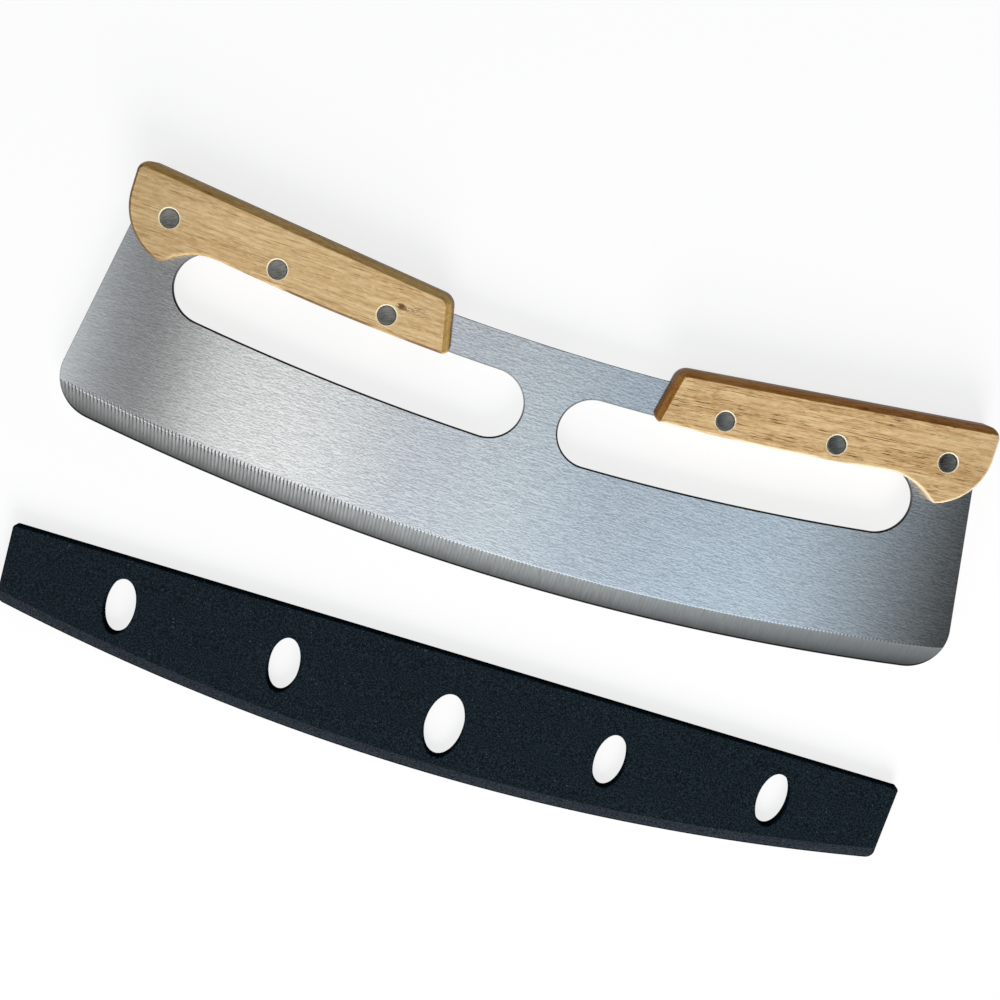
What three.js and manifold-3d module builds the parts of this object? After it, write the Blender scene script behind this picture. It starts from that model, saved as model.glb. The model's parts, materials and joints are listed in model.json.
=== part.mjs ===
// Rocker pizza cutter: a curved steel blade with two riveted wooden handles, and the plastic
// guard that slips over its edge. Sizes are in millimetres.
//
// Everything is drawn in the plane of the blade: X along the blade, Y from the cutting edge
// towards the handles, Z out of the front face, with the origin on the lowest point of the edge.
// The finished assembly is then laid on a table on its back, so that +Z is up.

import * as THREE from 'three';
import { mergeVertices } from 'three/addons/utils/BufferGeometryUtils.js';
import Module from 'manifold-3d';

const wasm = await Module();
wasm.setup();

const DEGREE = Math.PI / 180;
const FIT_GAP = 0.3; // clearance between pieces that touch on the real cutter

// Blade. All its long curves share one centre, EDGE_RADIUS above the lowest point of the edge,
// and heights are measured from the edge towards that centre.
const BLADE_LENGTH = 355.6;
const BLADE_THICKNESS = 1.5;
const EDGE_RADIUS = 1005;
const EDGE_LAND = 0.2; // thickness left at the cutting edge
const BEVEL_WIDTH = 9.4;
const CORNER_RADIUS = 16;
const END_LEAN = 11.9 * DEGREE; // the ends lean inwards as they rise
const BAR_HEIGHT = 91.4; // top of the bar between the handles
const SLOT_HEIGHT = 51.2; // lower side of the finger slots
const SLOT_WIDTH = 26.1;
const SLOT_INNER_X = 20.4; // centres of the round slot ends
const SLOT_OUTER_X = 132.1;

// Handles. Each is two wooden scales, one on either face of the blade.
const HANDLE_THICKNESS = 17.5; // both scales and the blade between them
const HANDLE_LOW = 76.4; // height of the lower side
const HANDLE_LOW_INNER_X = 39.9;
const HANDLE_TOP_INNER = new THREE.Vector2(44.1, 98.6);
const HANDLE_TOP_OUTER = new THREE.Vector2(166, 113);
const HANDLE_LOW_CORNER = 2.2; // corner radii of the outline
const HANDLE_INNER_CORNER = 5.5;
const HANDLE_OUTER_CORNER = 4;
const LOBE_CENTRE = new THREE.Vector2(144.5, 100); // round outer end that hooks down behind the hand
const LOBE_RADIUS = 22.1;
const LOBE_TIP = 2.4;
const NOTCH_ANGLE = 8 * DEGREE; // where the lower side turns down into the hook
const NOTCH_RADIUS = 26;
const LOW_ROUND = 1.6; // rounding of the lower and outer edges
const PALM_ROUND = 5.2; // rounding of the top and inner edges, where the palm presses
const PALM_ARRIS = 0.75; // the flat face cuts this much off that rounding, which leaves a crisp line

// Rivets. Each is a headed post pressed into a headed sleeve, three to a handle on one arc.
const RIVET_HEIGHT = 82.7;
const RIVET_ANGLES = { inner: 4.09 * DEGREE, middle: 6.75 * DEGREE, outer: 9.4 * DEGREE };
const RIVET_HEAD_RADIUS = 3.5;
const RIVET_HEAD_DEPTH = 1.6;
const RIVET_RECESS = 0.3; // the heads sit just under the wood
const RIVET_EDGE = 0.2; // eased rim of a head
const SLEEVE_RADIUS = 2.5;
const POST_RADIUS = 1.5;
const SLEEVE_REACH = 5; // free ends, measured from the middle of the blade
const POST_REACH = 4.4;
const COUNTERSINK = 0.4; // small chamfer where a rivet hole meets the face of the scale

// Guard. A thin moulded channel, open along its straight top.
const GUARD_LENGTH = 361;
const GUARD_HEIGHT = 50;
const GUARD_THICKNESS = 5;
const GUARD_SIDE_WALL = 1.4;
const GUARD_END_WALL = 1.7;
const GUARD_FLOOR = 2.4;
const GUARD_RADIUS = 881; // curve of its lower edge
const GUARD_CHAMFER = 4.7; // width of the sloping band along the lower edge
const GUARD_RIM_THICKNESS = 2.6; // thickness left at the lower edge
const GUARD_TOP_CORNER = 2;
const GUARD_LOW_CORNER = 3.5;
const GUARD_OFFSET = 34.3; // how far the guard lies off the edge
const WINDOW_PITCH = 67;
const WINDOW_SMALL = { width: 12.2, height: 22.5 };
const WINDOW_LARGE = { width: 15.2, height: 26.7 };
const WINDOW_DEPTHS = [28.6, 23.3, 19.5]; // window centres below the mouth, middle one first

// Facets
const CHORD_ERROR = 0.04; // how far a facet may lie inside the arc that it stands for
const DISC_SIDES = 720;
const RIVET_SIDES = 20;
const WINDOW_SIDES = 36;
const RUN_OUT = BLADE_LENGTH / 2; // cutting shapes run this far past what they cut
const SAME_POINT = 1e-5; // vertices closer than this are one

const MATERIALS = {
  steel: { color: 0xb4b7b9, roughness: 0.34, metalness: 1 },
  wood: { color: 0xc8a873, roughness: 0.62, metalness: 0 },
  rivet: { color: 0x7b766c, roughness: 0.45, metalness: 1 },
  plastic: { color: 0x15181c, roughness: 0.7, metalness: 0 },
};

// Outlines, all anticlockwise

/** How many facets an arc needs to stay within the chord error. */
function arcSteps(radius, sweep) {
  return Math.ceil(Math.abs(sweep) / (2 * Math.acos(1 - CHORD_ERROR / radius)));
}

/** Points of a circular arc, from one angle to another. */
function arc(centre, radius, from, to) {
  const steps = arcSteps(radius, to - from);
  return Array.from({ length: steps + 1 }, (_, i) => {
    const angle = from + ((to - from) * i) / steps;
    return new THREE.Vector2(Math.cos(angle), Math.sin(angle)).multiplyScalar(radius).add(centre);
  });
}

/** A point at a height above the edge, an angle along the blade from its middle. */
function bladePoint(height, angle) {
  const radius = EDGE_RADIUS - height;
  return new THREE.Vector2(radius * Math.sin(angle), EDGE_RADIUS - radius * Math.cos(angle));
}

/** Points along the blade at one height. */
function bladeCurve(height, from, to) {
  const centre = new THREE.Vector2(0, EDGE_RADIUS);
  return arc(centre, EDGE_RADIUS - height, from - Math.PI / 2, to - Math.PI / 2);
}

/** The angle along the blade at which a height reaches a given X. */
function bladeAngle(height, x) {
  return Math.asin(x / (EDGE_RADIUS - height));
}

/** A rounded corner between two straight sides. */
function corner(before, point, after, radius) {
  const toBefore = before.clone().sub(point).normalize();
  const toAfter = after.clone().sub(point).normalize();
  const half = Math.acos(toBefore.dot(toAfter)) / 2;
  const inward = toBefore.clone().add(toAfter).normalize();
  const centre = point.clone().addScaledVector(inward, radius / Math.sin(half));
  const reach = radius / Math.tan(half);
  const start = toBefore.multiplyScalar(reach).add(point).sub(centre).angle();
  const end = toAfter.multiplyScalar(reach).add(point).sub(centre).angle();
  const turn = Math.atan2(Math.sin(end - start), Math.cos(end - start));
  return arc(centre, radius, start, start + turn);
}

/** The point at two given distances from two others, on the right of the line from a to b. */
function meetingPoint(a, distanceA, b, distanceB) {
  const span = a.distanceTo(b);
  const along = (distanceA ** 2 - distanceB ** 2 + span ** 2) / (2 * span);
  const across = Math.sqrt(distanceA ** 2 - along ** 2);
  const direction = b.clone().sub(a).divideScalar(span);
  const right = new THREE.Vector2(direction.y, -direction.x);
  return a.clone().addScaledVector(direction, along).addScaledVector(right, across);
}

/** The same outline on the other side of the middle. */
function mirrored(points) {
  return points.map((point) => new THREE.Vector2(-point.x, point.y)).reverse();
}

/** Plate below the handles: leaning ends and round lower corners. It runs out below the edge. */
function plateOutline() {
  const cornerX = BLADE_LENGTH / 2 - CORNER_RADIUS;
  const reach = EDGE_RADIUS - CORNER_RADIUS;
  const cornerY = EDGE_RADIUS - Math.sqrt(reach ** 2 - cornerX ** 2);
  const edgeAngle = Math.atan2(cornerY - EDGE_RADIUS, cornerX);
  const lowerCorner = arc(new THREE.Vector2(cornerX, cornerY), CORNER_RADIUS, edgeAngle, END_LEAN);
  const below = new THREE.Vector2(lowerCorner[0].x, -BEVEL_WIDTH);
  const shoulder = lowerCorner[lowerCorner.length - 1];
  const rise = LOBE_CENTRE.y - shoulder.y;
  const top = new THREE.Vector2(shoulder.x - rise * Math.tan(END_LEAN), LOBE_CENTRE.y);
  const bar = bladeCurve(BAR_HEIGHT, bladeAngle(BAR_HEIGHT, LOBE_CENTRE.x), 0);
  const rightHalf = [below, ...lowerCorner, top, ...bar];
  return [...rightHalf, ...mirrored(rightHalf).slice(1)];
}

/** A finger slot: two sides that follow the edge, and round ends. */
function slotOutline() {
  const radius = SLOT_WIDTH / 2;
  const middle = SLOT_HEIGHT + radius;
  const inner = bladeAngle(middle, SLOT_INNER_X);
  const outer = bladeAngle(middle, SLOT_OUTER_X);
  const low = bladeCurve(SLOT_HEIGHT, inner, outer);
  const outerEnd = arc(bladePoint(middle, outer), radius, outer - Math.PI / 2, outer + Math.PI / 2);
  const high = bladeCurve(SLOT_HEIGHT + SLOT_WIDTH, outer, inner);
  const innerEnd = arc(bladePoint(middle, inner), radius, inner + Math.PI / 2, inner + Math.PI * 1.5);
  return [...low, ...outerEnd.slice(1, -1), ...high, ...innerEnd.slice(1, -1)];
}

/** The lower inner corner of the right handle, before it is rounded. */
function handleLowInner() {
  return bladePoint(HANDLE_LOW, bladeAngle(HANDLE_LOW, HANDLE_LOW_INNER_X));
}

/** The right handle: it follows the edge below, hooks down at the outer end and has a straight top. */
function handleOutline() {
  const lowInner = handleLowInner();
  const lowStart = bladeAngle(HANDLE_LOW, HANDLE_LOW_INNER_X + HANDLE_LOW_CORNER * 2);
  const lowSide = bladeCurve(HANDLE_LOW, lowStart, NOTCH_ANGLE);
  const notchCentre = bladePoint(HANDLE_LOW - NOTCH_RADIUS, NOTCH_ANGLE);
  const tipCentre = meetingPoint(
    notchCentre,
    NOTCH_RADIUS + LOBE_TIP,
    LOBE_CENTRE,
    LOBE_RADIUS - LOBE_TIP,
  );
  const notchEnd = tipCentre.clone().sub(notchCentre).angle();
  const notch = arc(notchCentre, NOTCH_RADIUS, NOTCH_ANGLE + Math.PI / 2, notchEnd);
  const lobeStart = tipCentre.clone().sub(LOBE_CENTRE).angle() - 2 * Math.PI;
  const tip = arc(tipCentre, LOBE_TIP, notchEnd - Math.PI, lobeStart);
  const toTop = HANDLE_TOP_OUTER.clone().sub(LOBE_CENTRE);
  const lobeEnd = toTop.angle() - Math.acos(LOBE_RADIUS / toTop.length());
  const lobe = arc(LOBE_CENTRE, LOBE_RADIUS, lobeStart, lobeEnd);
  const lobeTop = lobe[lobe.length - 1];
  return [
    ...corner(HANDLE_TOP_INNER, lowInner, lowSide[0], HANDLE_LOW_CORNER),
    ...lowSide,
    ...notch.slice(1),
    ...tip.slice(1),
    ...lobe.slice(1),
    ...corner(lobeTop, HANDLE_TOP_OUTER, HANDLE_TOP_INNER, HANDLE_OUTER_CORNER),
    ...corner(HANDLE_TOP_OUTER, HANDLE_TOP_INNER, lowInner, HANDLE_INNER_CORNER),
  ];
}

/** The top and inner end of the right handle alone, run out past its other sides. */
function palmOutline() {
  const downEnd = handleLowInner().sub(HANDLE_TOP_INNER).setLength(RUN_OUT);
  const alongTop = HANDLE_TOP_OUTER.clone().sub(HANDLE_TOP_INNER).setLength(RUN_OUT);
  const low = HANDLE_TOP_INNER.clone().add(downEnd);
  const far = HANDLE_TOP_INNER.clone().add(alongTop);
  const lowFar = new THREE.Vector2(far.x, low.y);
  return [low, lowFar, far, ...corner(far, HANDLE_TOP_INNER, low, HANDLE_INNER_CORNER)];
}

/** The guard from the front, its mouth at a given level. It runs out below its curved edge. */
function guardOutline(inset, mouth) {
  const radius = GUARD_RADIUS - inset;
  const half = GUARD_LENGTH / 2 - inset;
  const slope = Math.asin(half / radius);
  const lowEnd = new THREE.Vector2(half, GUARD_RADIUS - GUARD_HEIGHT - radius * Math.cos(slope));
  const alongEdge = new THREE.Vector2(-Math.cos(slope), -Math.sin(slope)).add(lowEnd);
  const topEnd = new THREE.Vector2(half, mouth);
  const topMiddle = new THREE.Vector2(0, mouth);
  const rightHalf = [
    new THREE.Vector2(0, -RUN_OUT),
    ...corner(alongEdge, lowEnd, topEnd, GUARD_LOW_CORNER - inset / 2),
    ...corner(lowEnd, topEnd, topMiddle, GUARD_TOP_CORNER),
  ];
  return [...rightHalf, ...mirrored(rightHalf).slice(0, -1)];
}

function ellipseOutline({ width, height }) {
  return new THREE.EllipseCurve(0, 0, width / 2, height / 2).getPoints(WINDOW_SIDES).slice(0, -1);
}

// Solids

/** A closed three.js geometry as a solid that can be joined and cut. */
function solid(geometry) {
  const bare = geometry.index ? geometry.toNonIndexed() : geometry.clone();
  bare.deleteAttribute('normal');
  bare.deleteAttribute('uv');
  const merged = mergeVertices(bare, SAME_POINT);
  const mesh = new wasm.Mesh({
    numProp: 3,
    vertProperties: new Float32Array(merged.attributes.position.array),
    triVerts: new Uint32Array(merged.index.array),
  });
  mesh.merge();
  return new wasm.Manifold(mesh);
}

/** A solid as a three.js geometry. */
function geometryOf(body) {
  const mesh = body.getMesh();
  const geometry = new THREE.BufferGeometry();
  geometry.setAttribute('position', new THREE.BufferAttribute(mesh.vertProperties, 3));
  geometry.setIndex(new THREE.BufferAttribute(mesh.triVerts, 1));
  const flat = geometry.toNonIndexed();
  flat.computeVertexNormals();
  return flat;
}

/** A straight plate of an outline, between two levels. */
function plate(points, low, high) {
  const settings = { depth: high - low, bevelEnabled: false };
  const geometry = new THREE.ExtrudeGeometry(new THREE.Shape(points), settings);
  return solid(geometry.translate(0, 0, low));
}

/** A plate as thick as a handle whose edges are rounded, with its top at a level. */
function roundedPlate(points, high, round) {
  const geometry = new THREE.ExtrudeGeometry(new THREE.Shape(points), {
    depth: HANDLE_THICKNESS - round,
    bevelThickness: round,
    bevelSize: round,
    bevelOffset: -round,
    bevelSegments: arcSteps(round, Math.PI / 2),
  });
  return solid(geometry.translate(0, 0, high - HANDLE_THICKNESS));
}

/** A solid turned about Z. Its profile of radius and level rises from the axis and returns to it. */
function turned(profile, sides) {
  const points = profile.map(([radius, level]) => new THREE.Vector2(radius, level));
  return solid(new THREE.LatheGeometry(points, sides).rotateX(Math.PI / 2));
}

/** A wide disc, thicker than a plate, whose tapered rim gives that plate its bevel along a curve. */
function taperedDisc(radius, rimThickness, plateThickness, taperWidth) {
  const rim = rimThickness / 2;
  const face = plateThickness;
  const slope = (plateThickness / 2 - rim) / taperWidth;
  const faceRadius = radius - (face - rim) / slope;
  return turned([
    [0, -face],
    [faceRadius, -face],
    [radius, -rim],
    [radius, rim],
    [faceRadius, face],
    [0, face],
  ], DISC_SIDES);
}

/** A plain round bar between two levels. */
function bar(radius, low, high, sides) {
  return turned([[0, low], [radius, low], [radius, high], [0, high]], sides);
}

// Pieces

/** Six rivet places: side, position along the handle, and centre. */
function rivetPlaces() {
  return ['left', 'right'].flatMap((side) =>
    Object.entries(RIVET_ANGLES).map(([position, angle]) => ({
      side,
      position,
      place: bladePoint(RIVET_HEIGHT, side === 'right' ? angle : -angle),
    })),
  );
}

/** The blade: a plate with a tang in each handle, slotted, drilled and ground to a bevel on both faces. */
function makeBlade() {
  const half = BLADE_THICKNESS / 2;
  const handle = handleOutline();
  const slot = slotOutline();
  let blade = plate(plateOutline(), -half, half);
  for (const tang of [handle, mirrored(handle)]) {
    blade = blade.add(plate(tang, -half, half));
  }
  for (const opening of [slot, mirrored(slot)]) {
    blade = blade.subtract(plate(opening, -BLADE_THICKNESS, BLADE_THICKNESS));
  }
  const hole = bar(SLEEVE_RADIUS + FIT_GAP, -BLADE_THICKNESS, BLADE_THICKNESS, RIVET_SIDES);
  for (const { place } of rivetPlaces()) {
    blade = blade.subtract(hole.translate([place.x, place.y, 0]));
  }
  const ground = taperedDisc(EDGE_RADIUS, EDGE_LAND, BLADE_THICKNESS, BEVEL_WIDTH);
  return geometryOf(blade.intersect(ground.translate([0, EDGE_RADIUS, 0])));
}

/** The front scale of one handle, rounded for the palm and bored for its rivets. */
function makeScale(side) {
  const face = HANDLE_THICKNESS / 2;
  const seat = BLADE_THICKNESS / 2 + FIT_GAP;
  const handle = side === 'right' ? handleOutline() : mirrored(handleOutline());
  const palm = side === 'right' ? palmOutline() : mirrored(palmOutline());
  const blank = roundedPlate(handle, face, LOW_ROUND);
  const shaped = blank.intersect(roundedPlate(palm, face + PALM_ARRIS, PALM_ROUND));
  const aboveBlade = solid(new THREE.BoxGeometry(BLADE_LENGTH * 2, BLADE_LENGTH * 2, face * 2));
  let scale = shaped.intersect(aboveBlade.translate([0, 0, seat + face]));
  const shank = SLEEVE_RADIUS + FIT_GAP;
  const head = RIVET_HEAD_RADIUS + FIT_GAP;
  const shoulder = face - RIVET_RECESS - RIVET_HEAD_DEPTH - FIT_GAP;
  const bore = turned([
    [0, 0],
    [shank, 0],
    [shank, shoulder],
    [head, shoulder],
    [head, face - COUNTERSINK],
    [head + COUNTERSINK * 2, face + COUNTERSINK],
    [0, face + COUNTERSINK],
  ], RIVET_SIDES);
  for (const { place } of rivetPlaces().filter((rivet) => rivet.side === side)) {
    scale = scale.subtract(bore.translate([place.x, place.y, 0]));
  }
  return geometryOf(scale);
}

/** Profile of a rivet head whose top faces +Z, from its underside to the axis. */
function headProfile() {
  const top = HANDLE_THICKNESS / 2 - RIVET_RECESS;
  return [
    [RIVET_HEAD_RADIUS, top - RIVET_HEAD_DEPTH],
    [RIVET_HEAD_RADIUS, top - RIVET_EDGE],
    [RIVET_HEAD_RADIUS - RIVET_EDGE, top],
    [0, top],
  ];
}

/** The front half of a rivet: a head on a solid post. */
function makePost() {
  const head = headProfile();
  const underHead = head[0][1];
  const post = [
    [0, -POST_REACH],
    [POST_RADIUS - RIVET_EDGE, -POST_REACH],
    [POST_RADIUS, RIVET_EDGE - POST_REACH],
    [POST_RADIUS, underHead],
  ];
  return geometryOf(turned([...post, ...head], RIVET_SIDES));
}

/** The back half of a rivet: a head on a hollow sleeve that grips the post. It is drawn facing +Z too. */
function makeSleeve() {
  const head = headProfile();
  const underHead = head[0][1];
  const boreRadius = POST_RADIUS + FIT_GAP;
  const boreEnd = POST_REACH + FIT_GAP;
  const sleeve = [
    [0, boreEnd],
    [boreRadius, boreEnd],
    [boreRadius, -SLEEVE_REACH],
    [SLEEVE_RADIUS, -SLEEVE_REACH],
    [SLEEVE_RADIUS, underHead],
  ];
  return geometryOf(turned([...sleeve, ...head], RIVET_SIDES));
}

/** The guard: a chamfered shell, hollowed from its mouth, with oval windows through both walls. */
function makeGuard() {
  const half = GUARD_THICKNESS / 2;
  const slot = half - GUARD_SIDE_WALL;
  const curveCentre = [0, GUARD_RADIUS - GUARD_HEIGHT, 0];
  const rim = taperedDisc(GUARD_RADIUS, GUARD_RIM_THICKNESS, GUARD_THICKNESS, GUARD_CHAMFER);
  const shell = plate(guardOutline(0, 0), -half, half).intersect(rim.translate(curveCentre));
  const floor = bar(GUARD_RADIUS - GUARD_FLOOR, -half, half, DISC_SIDES);
  const cavity = plate(guardOutline(GUARD_END_WALL, GUARD_HEIGHT), -slot, slot);
  let guard = shell.subtract(cavity.intersect(floor.translate(curveCentre)));
  WINDOW_DEPTHS.forEach((depth, index) => {
    const size = index === 0 ? WINDOW_LARGE : WINDOW_SMALL;
    const window = plate(ellipseOutline(size), -GUARD_THICKNESS, GUARD_THICKNESS);
    for (const x of new Set([index * WINDOW_PITCH, -index * WINDOW_PITCH])) {
      guard = guard.subtract(window.translate([x, -depth, 0]));
    }
  });
  return geometryOf(guard);
}

// Assembly

function part(name, geometry, finish) {
  const mesh = new THREE.Mesh(geometry, new THREE.MeshStandardMaterial(MATERIALS[finish]));
  mesh.name = name;
  return mesh;
}

const cutter = new THREE.Group();
cutter.add(part('blade', makeBlade(), 'steel'));

// A back scale is the other hand's front scale turned over.
for (const [side, other] of [['left', 'right'], ['right', 'left']]) {
  cutter.add(part(`${side}_front_scale`, makeScale(side), 'wood'));
  const back = part(`${side}_back_scale`, makeScale(other), 'wood');
  back.rotation.y = Math.PI;
  cutter.add(back);
}

for (const { side, position, place } of rivetPlaces()) {
  const post = part(`${side}_${position}_rivet_post`, makePost(), 'rivet');
  post.position.set(place.x, place.y, 0);
  const sleeve = part(`${side}_${position}_rivet_sleeve`, makeSleeve(), 'rivet');
  sleeve.position.copy(post.position);
  sleeve.rotation.y = Math.PI;
  cutter.add(post, sleeve);
}

const guard = part('blade_guard', makeGuard(), 'plastic');
guard.position.y = -GUARD_OFFSET;

// Laid on its back, the assembly rests on the lower edges of the handles and the low edge of the guard.
const handleRest = handleLowInner().y + LOW_ROUND;
const guardRest = GUARD_CHAMFER - GUARD_HEIGHT - GUARD_OFFSET;
const restAngle = Math.atan2((HANDLE_THICKNESS - GUARD_THICKNESS) / 2, handleRest - guardRest);

const laid = new THREE.Group();
laid.add(cutter, guard);
laid.rotation.x = restAngle;

// The origin is the middle of the assembly's box, at table level.
const pizzaCutter = new THREE.Group();
pizzaCutter.add(laid);
const box = new THREE.Box3().setFromObject(pizzaCutter, true);
const middle = box.getCenter(new THREE.Vector3());
laid.position.set(-middle.x, -middle.y, -box.min.z);
pizzaCutter.updateMatrixWorld(true);

export default pizzaCutter;
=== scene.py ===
# %% [markdown]
# A rocker pizza cutter: a long curved steel blade with two riveted wooden handles, and the black
# plastic guard that slips over its edge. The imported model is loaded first, because it fixes where
# every piece is. All lengths are in metres.

# %% Load the frame
import json
import bmesh
import bpy
import numpy as np
from mathutils import Matrix
from mathutils.geometry import delaunay_2d_cdt


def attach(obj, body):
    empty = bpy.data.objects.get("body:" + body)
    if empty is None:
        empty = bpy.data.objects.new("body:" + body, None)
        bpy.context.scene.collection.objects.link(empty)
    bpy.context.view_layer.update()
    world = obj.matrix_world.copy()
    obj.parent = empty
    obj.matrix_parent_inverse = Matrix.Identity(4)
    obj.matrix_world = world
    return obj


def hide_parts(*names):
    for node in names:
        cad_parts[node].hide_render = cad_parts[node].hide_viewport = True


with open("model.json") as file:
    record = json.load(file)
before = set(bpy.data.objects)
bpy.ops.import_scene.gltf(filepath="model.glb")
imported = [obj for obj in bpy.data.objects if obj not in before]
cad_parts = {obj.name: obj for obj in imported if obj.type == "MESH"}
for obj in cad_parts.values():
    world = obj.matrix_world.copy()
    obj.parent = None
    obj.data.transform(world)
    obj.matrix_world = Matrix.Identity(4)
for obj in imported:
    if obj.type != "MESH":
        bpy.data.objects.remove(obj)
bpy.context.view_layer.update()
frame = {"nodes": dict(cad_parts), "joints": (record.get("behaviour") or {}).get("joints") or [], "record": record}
print("pieces in the frame:", len(frame["nodes"]))

# %% [markdown]
# The cutter is easiest to draw in the plane of its blade: X along the blade, Y from the edge to
# the handles, Z out of the front face, with the origin at the lowest point of the edge. The real
# thing lies on a table, so that plane is tilted by a few degrees. The guard slides in the plane,
# so the joint's axis gives the tilt, and one known point on the back of a handle gives the place.

# %% The blade's plane in the frame
HANDLE_MOUNT = (0.087, 0.092, -0.00875)  # the record's right_handle_back, drawn in the blade's plane

slide_axis = np.array(frame["joints"][0]["axis"])
tilt = np.arctan2(slide_axis[2], slide_axis[1])
lay_flat = np.array([
    [1, 0, 0],
    [0, np.cos(tilt), -np.sin(tilt)],
    [0, np.sin(tilt), np.cos(tilt)],
])
mount = next(m for m in frame["record"]["mounts"] if m["name"] == "right_handle_back")
blade_origin = np.array(mount["pos_m"]) - lay_flat @ HANDLE_MOUNT


def to_frame(points):
    """Points drawn in the blade's plane, tilted about X and moved to where the blade lies."""
    return np.asarray(points) @ lay_flat.T + blade_origin


print(f"tilt {np.degrees(tilt):.2f} degrees, edge at {blade_origin.round(5)}")

# %% [markdown]
# Outlines are made of arcs and straight lines, as they would be drawn on paper. A round stretch
# gets as many points as keep its chords within a few thousandths of a millimetre of the arc, so
# that no facet shows.

# %% Arcs and corners
CHORD_ERROR = 5e-6
QUARTER = np.pi / 2


def arc(centre, radius, start, end):
    """A circular arc: the centre plus the radius times cosine and sine of evenly spaced angles."""
    step = 2 * np.arccos(1 - CHORD_ERROR / radius)
    angle = np.linspace(start, end, int(np.ceil(abs(end - start) / step)) + 1)
    return np.array(centre) + radius * np.column_stack([np.cos(angle), np.sin(angle)])


def heading(vector):
    """The angle of a vector from the X axis."""
    return np.arctan2(vector[1], vector[0])


def unit(vector):
    """A vector of length one that points the same way."""
    return vector / np.linalg.norm(vector)


def corner(before, point, after, radius):
    """A rounded corner: an arc that touches the two straight sides that meet at a point."""
    before, point, after = (np.array(p, float) for p in (before, point, after))
    first, second = unit(before - point), unit(after - point)
    half = np.arccos(first @ second) / 2
    centre = point + unit(first + second) * radius / np.sin(half)
    reach = radius / np.tan(half)
    start = heading(point + first * reach - centre)
    turn = heading(point + second * reach - centre) - start
    return arc(centre, radius, start, start + np.arctan2(np.sin(turn), np.cos(turn)))


def meeting_point(a, distance_a, b, distance_b):
    """The point at given distances from a and b, to the right of the line from a to b."""
    span = np.linalg.norm(b - a)
    along = (distance_a**2 - distance_b**2 + span**2) / (2 * span)
    across = np.sqrt(distance_a**2 - along**2)
    direction = (b - a) / span
    return a + along * direction + across * np.array([direction[1], -direction[0]])


def mirrored(points):
    """The same outline on the other side of the middle, still anticlockwise."""
    return points[::-1] * [-1, 1]


print("points on a quarter round of 10 mm:", len(arc((0, 0), 0.01, 0, QUARTER)))

# %% [markdown]
# Every long curve of the blade has one centre, a metre above the edge, so a point on it is given
# by a height above the edge and an angle along it. The slots and the lower sides of the handles
# follow that curve too.

# %% The blade's own coordinates
EDGE_RADIUS = 1.005
EDGE_CENTRE = np.array([0, EDGE_RADIUS])


def blade_point(height, angle):
    """A point on the ray at an angle from the middle, at a height above the edge."""
    reach = EDGE_RADIUS - np.asarray(height)
    return np.stack([reach * np.sin(angle), EDGE_RADIUS - reach * np.cos(angle)], -1)


def blade_curve(height, start, end):
    """An arc along the blade at one height."""
    return arc(EDGE_CENTRE, EDGE_RADIUS - height, start - QUARTER, end - QUARTER)


def blade_angle(height, x):
    """The angle along the blade at which a height reaches x."""
    return np.arcsin(x / (EDGE_RADIUS - height))


def height_above_edge(points):
    """How far points lie inside the circle of the edge."""
    return EDGE_RADIUS - np.hypot(points[..., 0], points[..., 1] - EDGE_RADIUS)


print("ten degrees along the edge:", blade_point(0, np.radians(10)).round(4))

# %% The handle's outline
HANDLE_LOW = 0.0764
HANDLE_LOW_INNER_X = 0.0399
HANDLE_TOP_INNER = np.array([0.0441, 0.0986])
HANDLE_TOP_OUTER = np.array([0.166, 0.113])
HANDLE_LOW_CORNER = 0.0022
HANDLE_INNER_CORNER = 0.0055
HANDLE_OUTER_CORNER = 0.004
LOBE_CENTRE = np.array([0.1445, 0.1])
LOBE_RADIUS = 0.0221
LOBE_TIP = 0.0024
NOTCH_ANGLE = np.radians(8)
NOTCH_RADIUS = 0.026

handle_low_inner = blade_point(HANDLE_LOW, blade_angle(HANDLE_LOW, HANDLE_LOW_INNER_X))
along_top = unit(HANDLE_TOP_OUTER - HANDLE_TOP_INNER)
along_end = unit(handle_low_inner - HANDLE_TOP_INNER)
to_outer_corner = HANDLE_TOP_OUTER - LOBE_CENTRE
lobe_end = heading(to_outer_corner) - np.arccos(LOBE_RADIUS / np.linalg.norm(to_outer_corner))
lobe_top = LOBE_CENTRE + LOBE_RADIUS * np.array([np.cos(lobe_end), np.sin(lobe_end)])


def handle_stretches():
    """The right handle's outline, anticlockwise, as a list of arcs joined by straight lines."""
    low_start = blade_angle(HANDLE_LOW, HANDLE_LOW_INNER_X + 2 * HANDLE_LOW_CORNER)
    low_side = blade_curve(HANDLE_LOW, low_start, NOTCH_ANGLE)
    notch_centre = blade_point(HANDLE_LOW - NOTCH_RADIUS, NOTCH_ANGLE)
    tip_centre = meeting_point(
        notch_centre, NOTCH_RADIUS + LOBE_TIP, LOBE_CENTRE, LOBE_RADIUS - LOBE_TIP)
    notch_end = heading(tip_centre - notch_centre)
    lobe_start = heading(tip_centre - LOBE_CENTRE)
    return {
        "low corner": corner(HANDLE_TOP_INNER, handle_low_inner, low_side[0], HANDLE_LOW_CORNER),
        "low side": low_side,
        "notch": arc(notch_centre, NOTCH_RADIUS, NOTCH_ANGLE + QUARTER, notch_end)[1:],
        "tip": arc(tip_centre, LOBE_TIP, notch_end - np.pi, lobe_start)[1:],
        "lobe": arc(LOBE_CENTRE, LOBE_RADIUS, lobe_start, lobe_end)[1:],
        "outer corner": corner(lobe_top, HANDLE_TOP_OUTER, HANDLE_TOP_INNER, HANDLE_OUTER_CORNER),
        "inner corner": corner(
            HANDLE_TOP_OUTER, HANDLE_TOP_INNER, handle_low_inner, HANDLE_INNER_CORNER),
    }


print("handle outline:", {name: len(points) for name, points in handle_stretches().items()})

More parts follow.
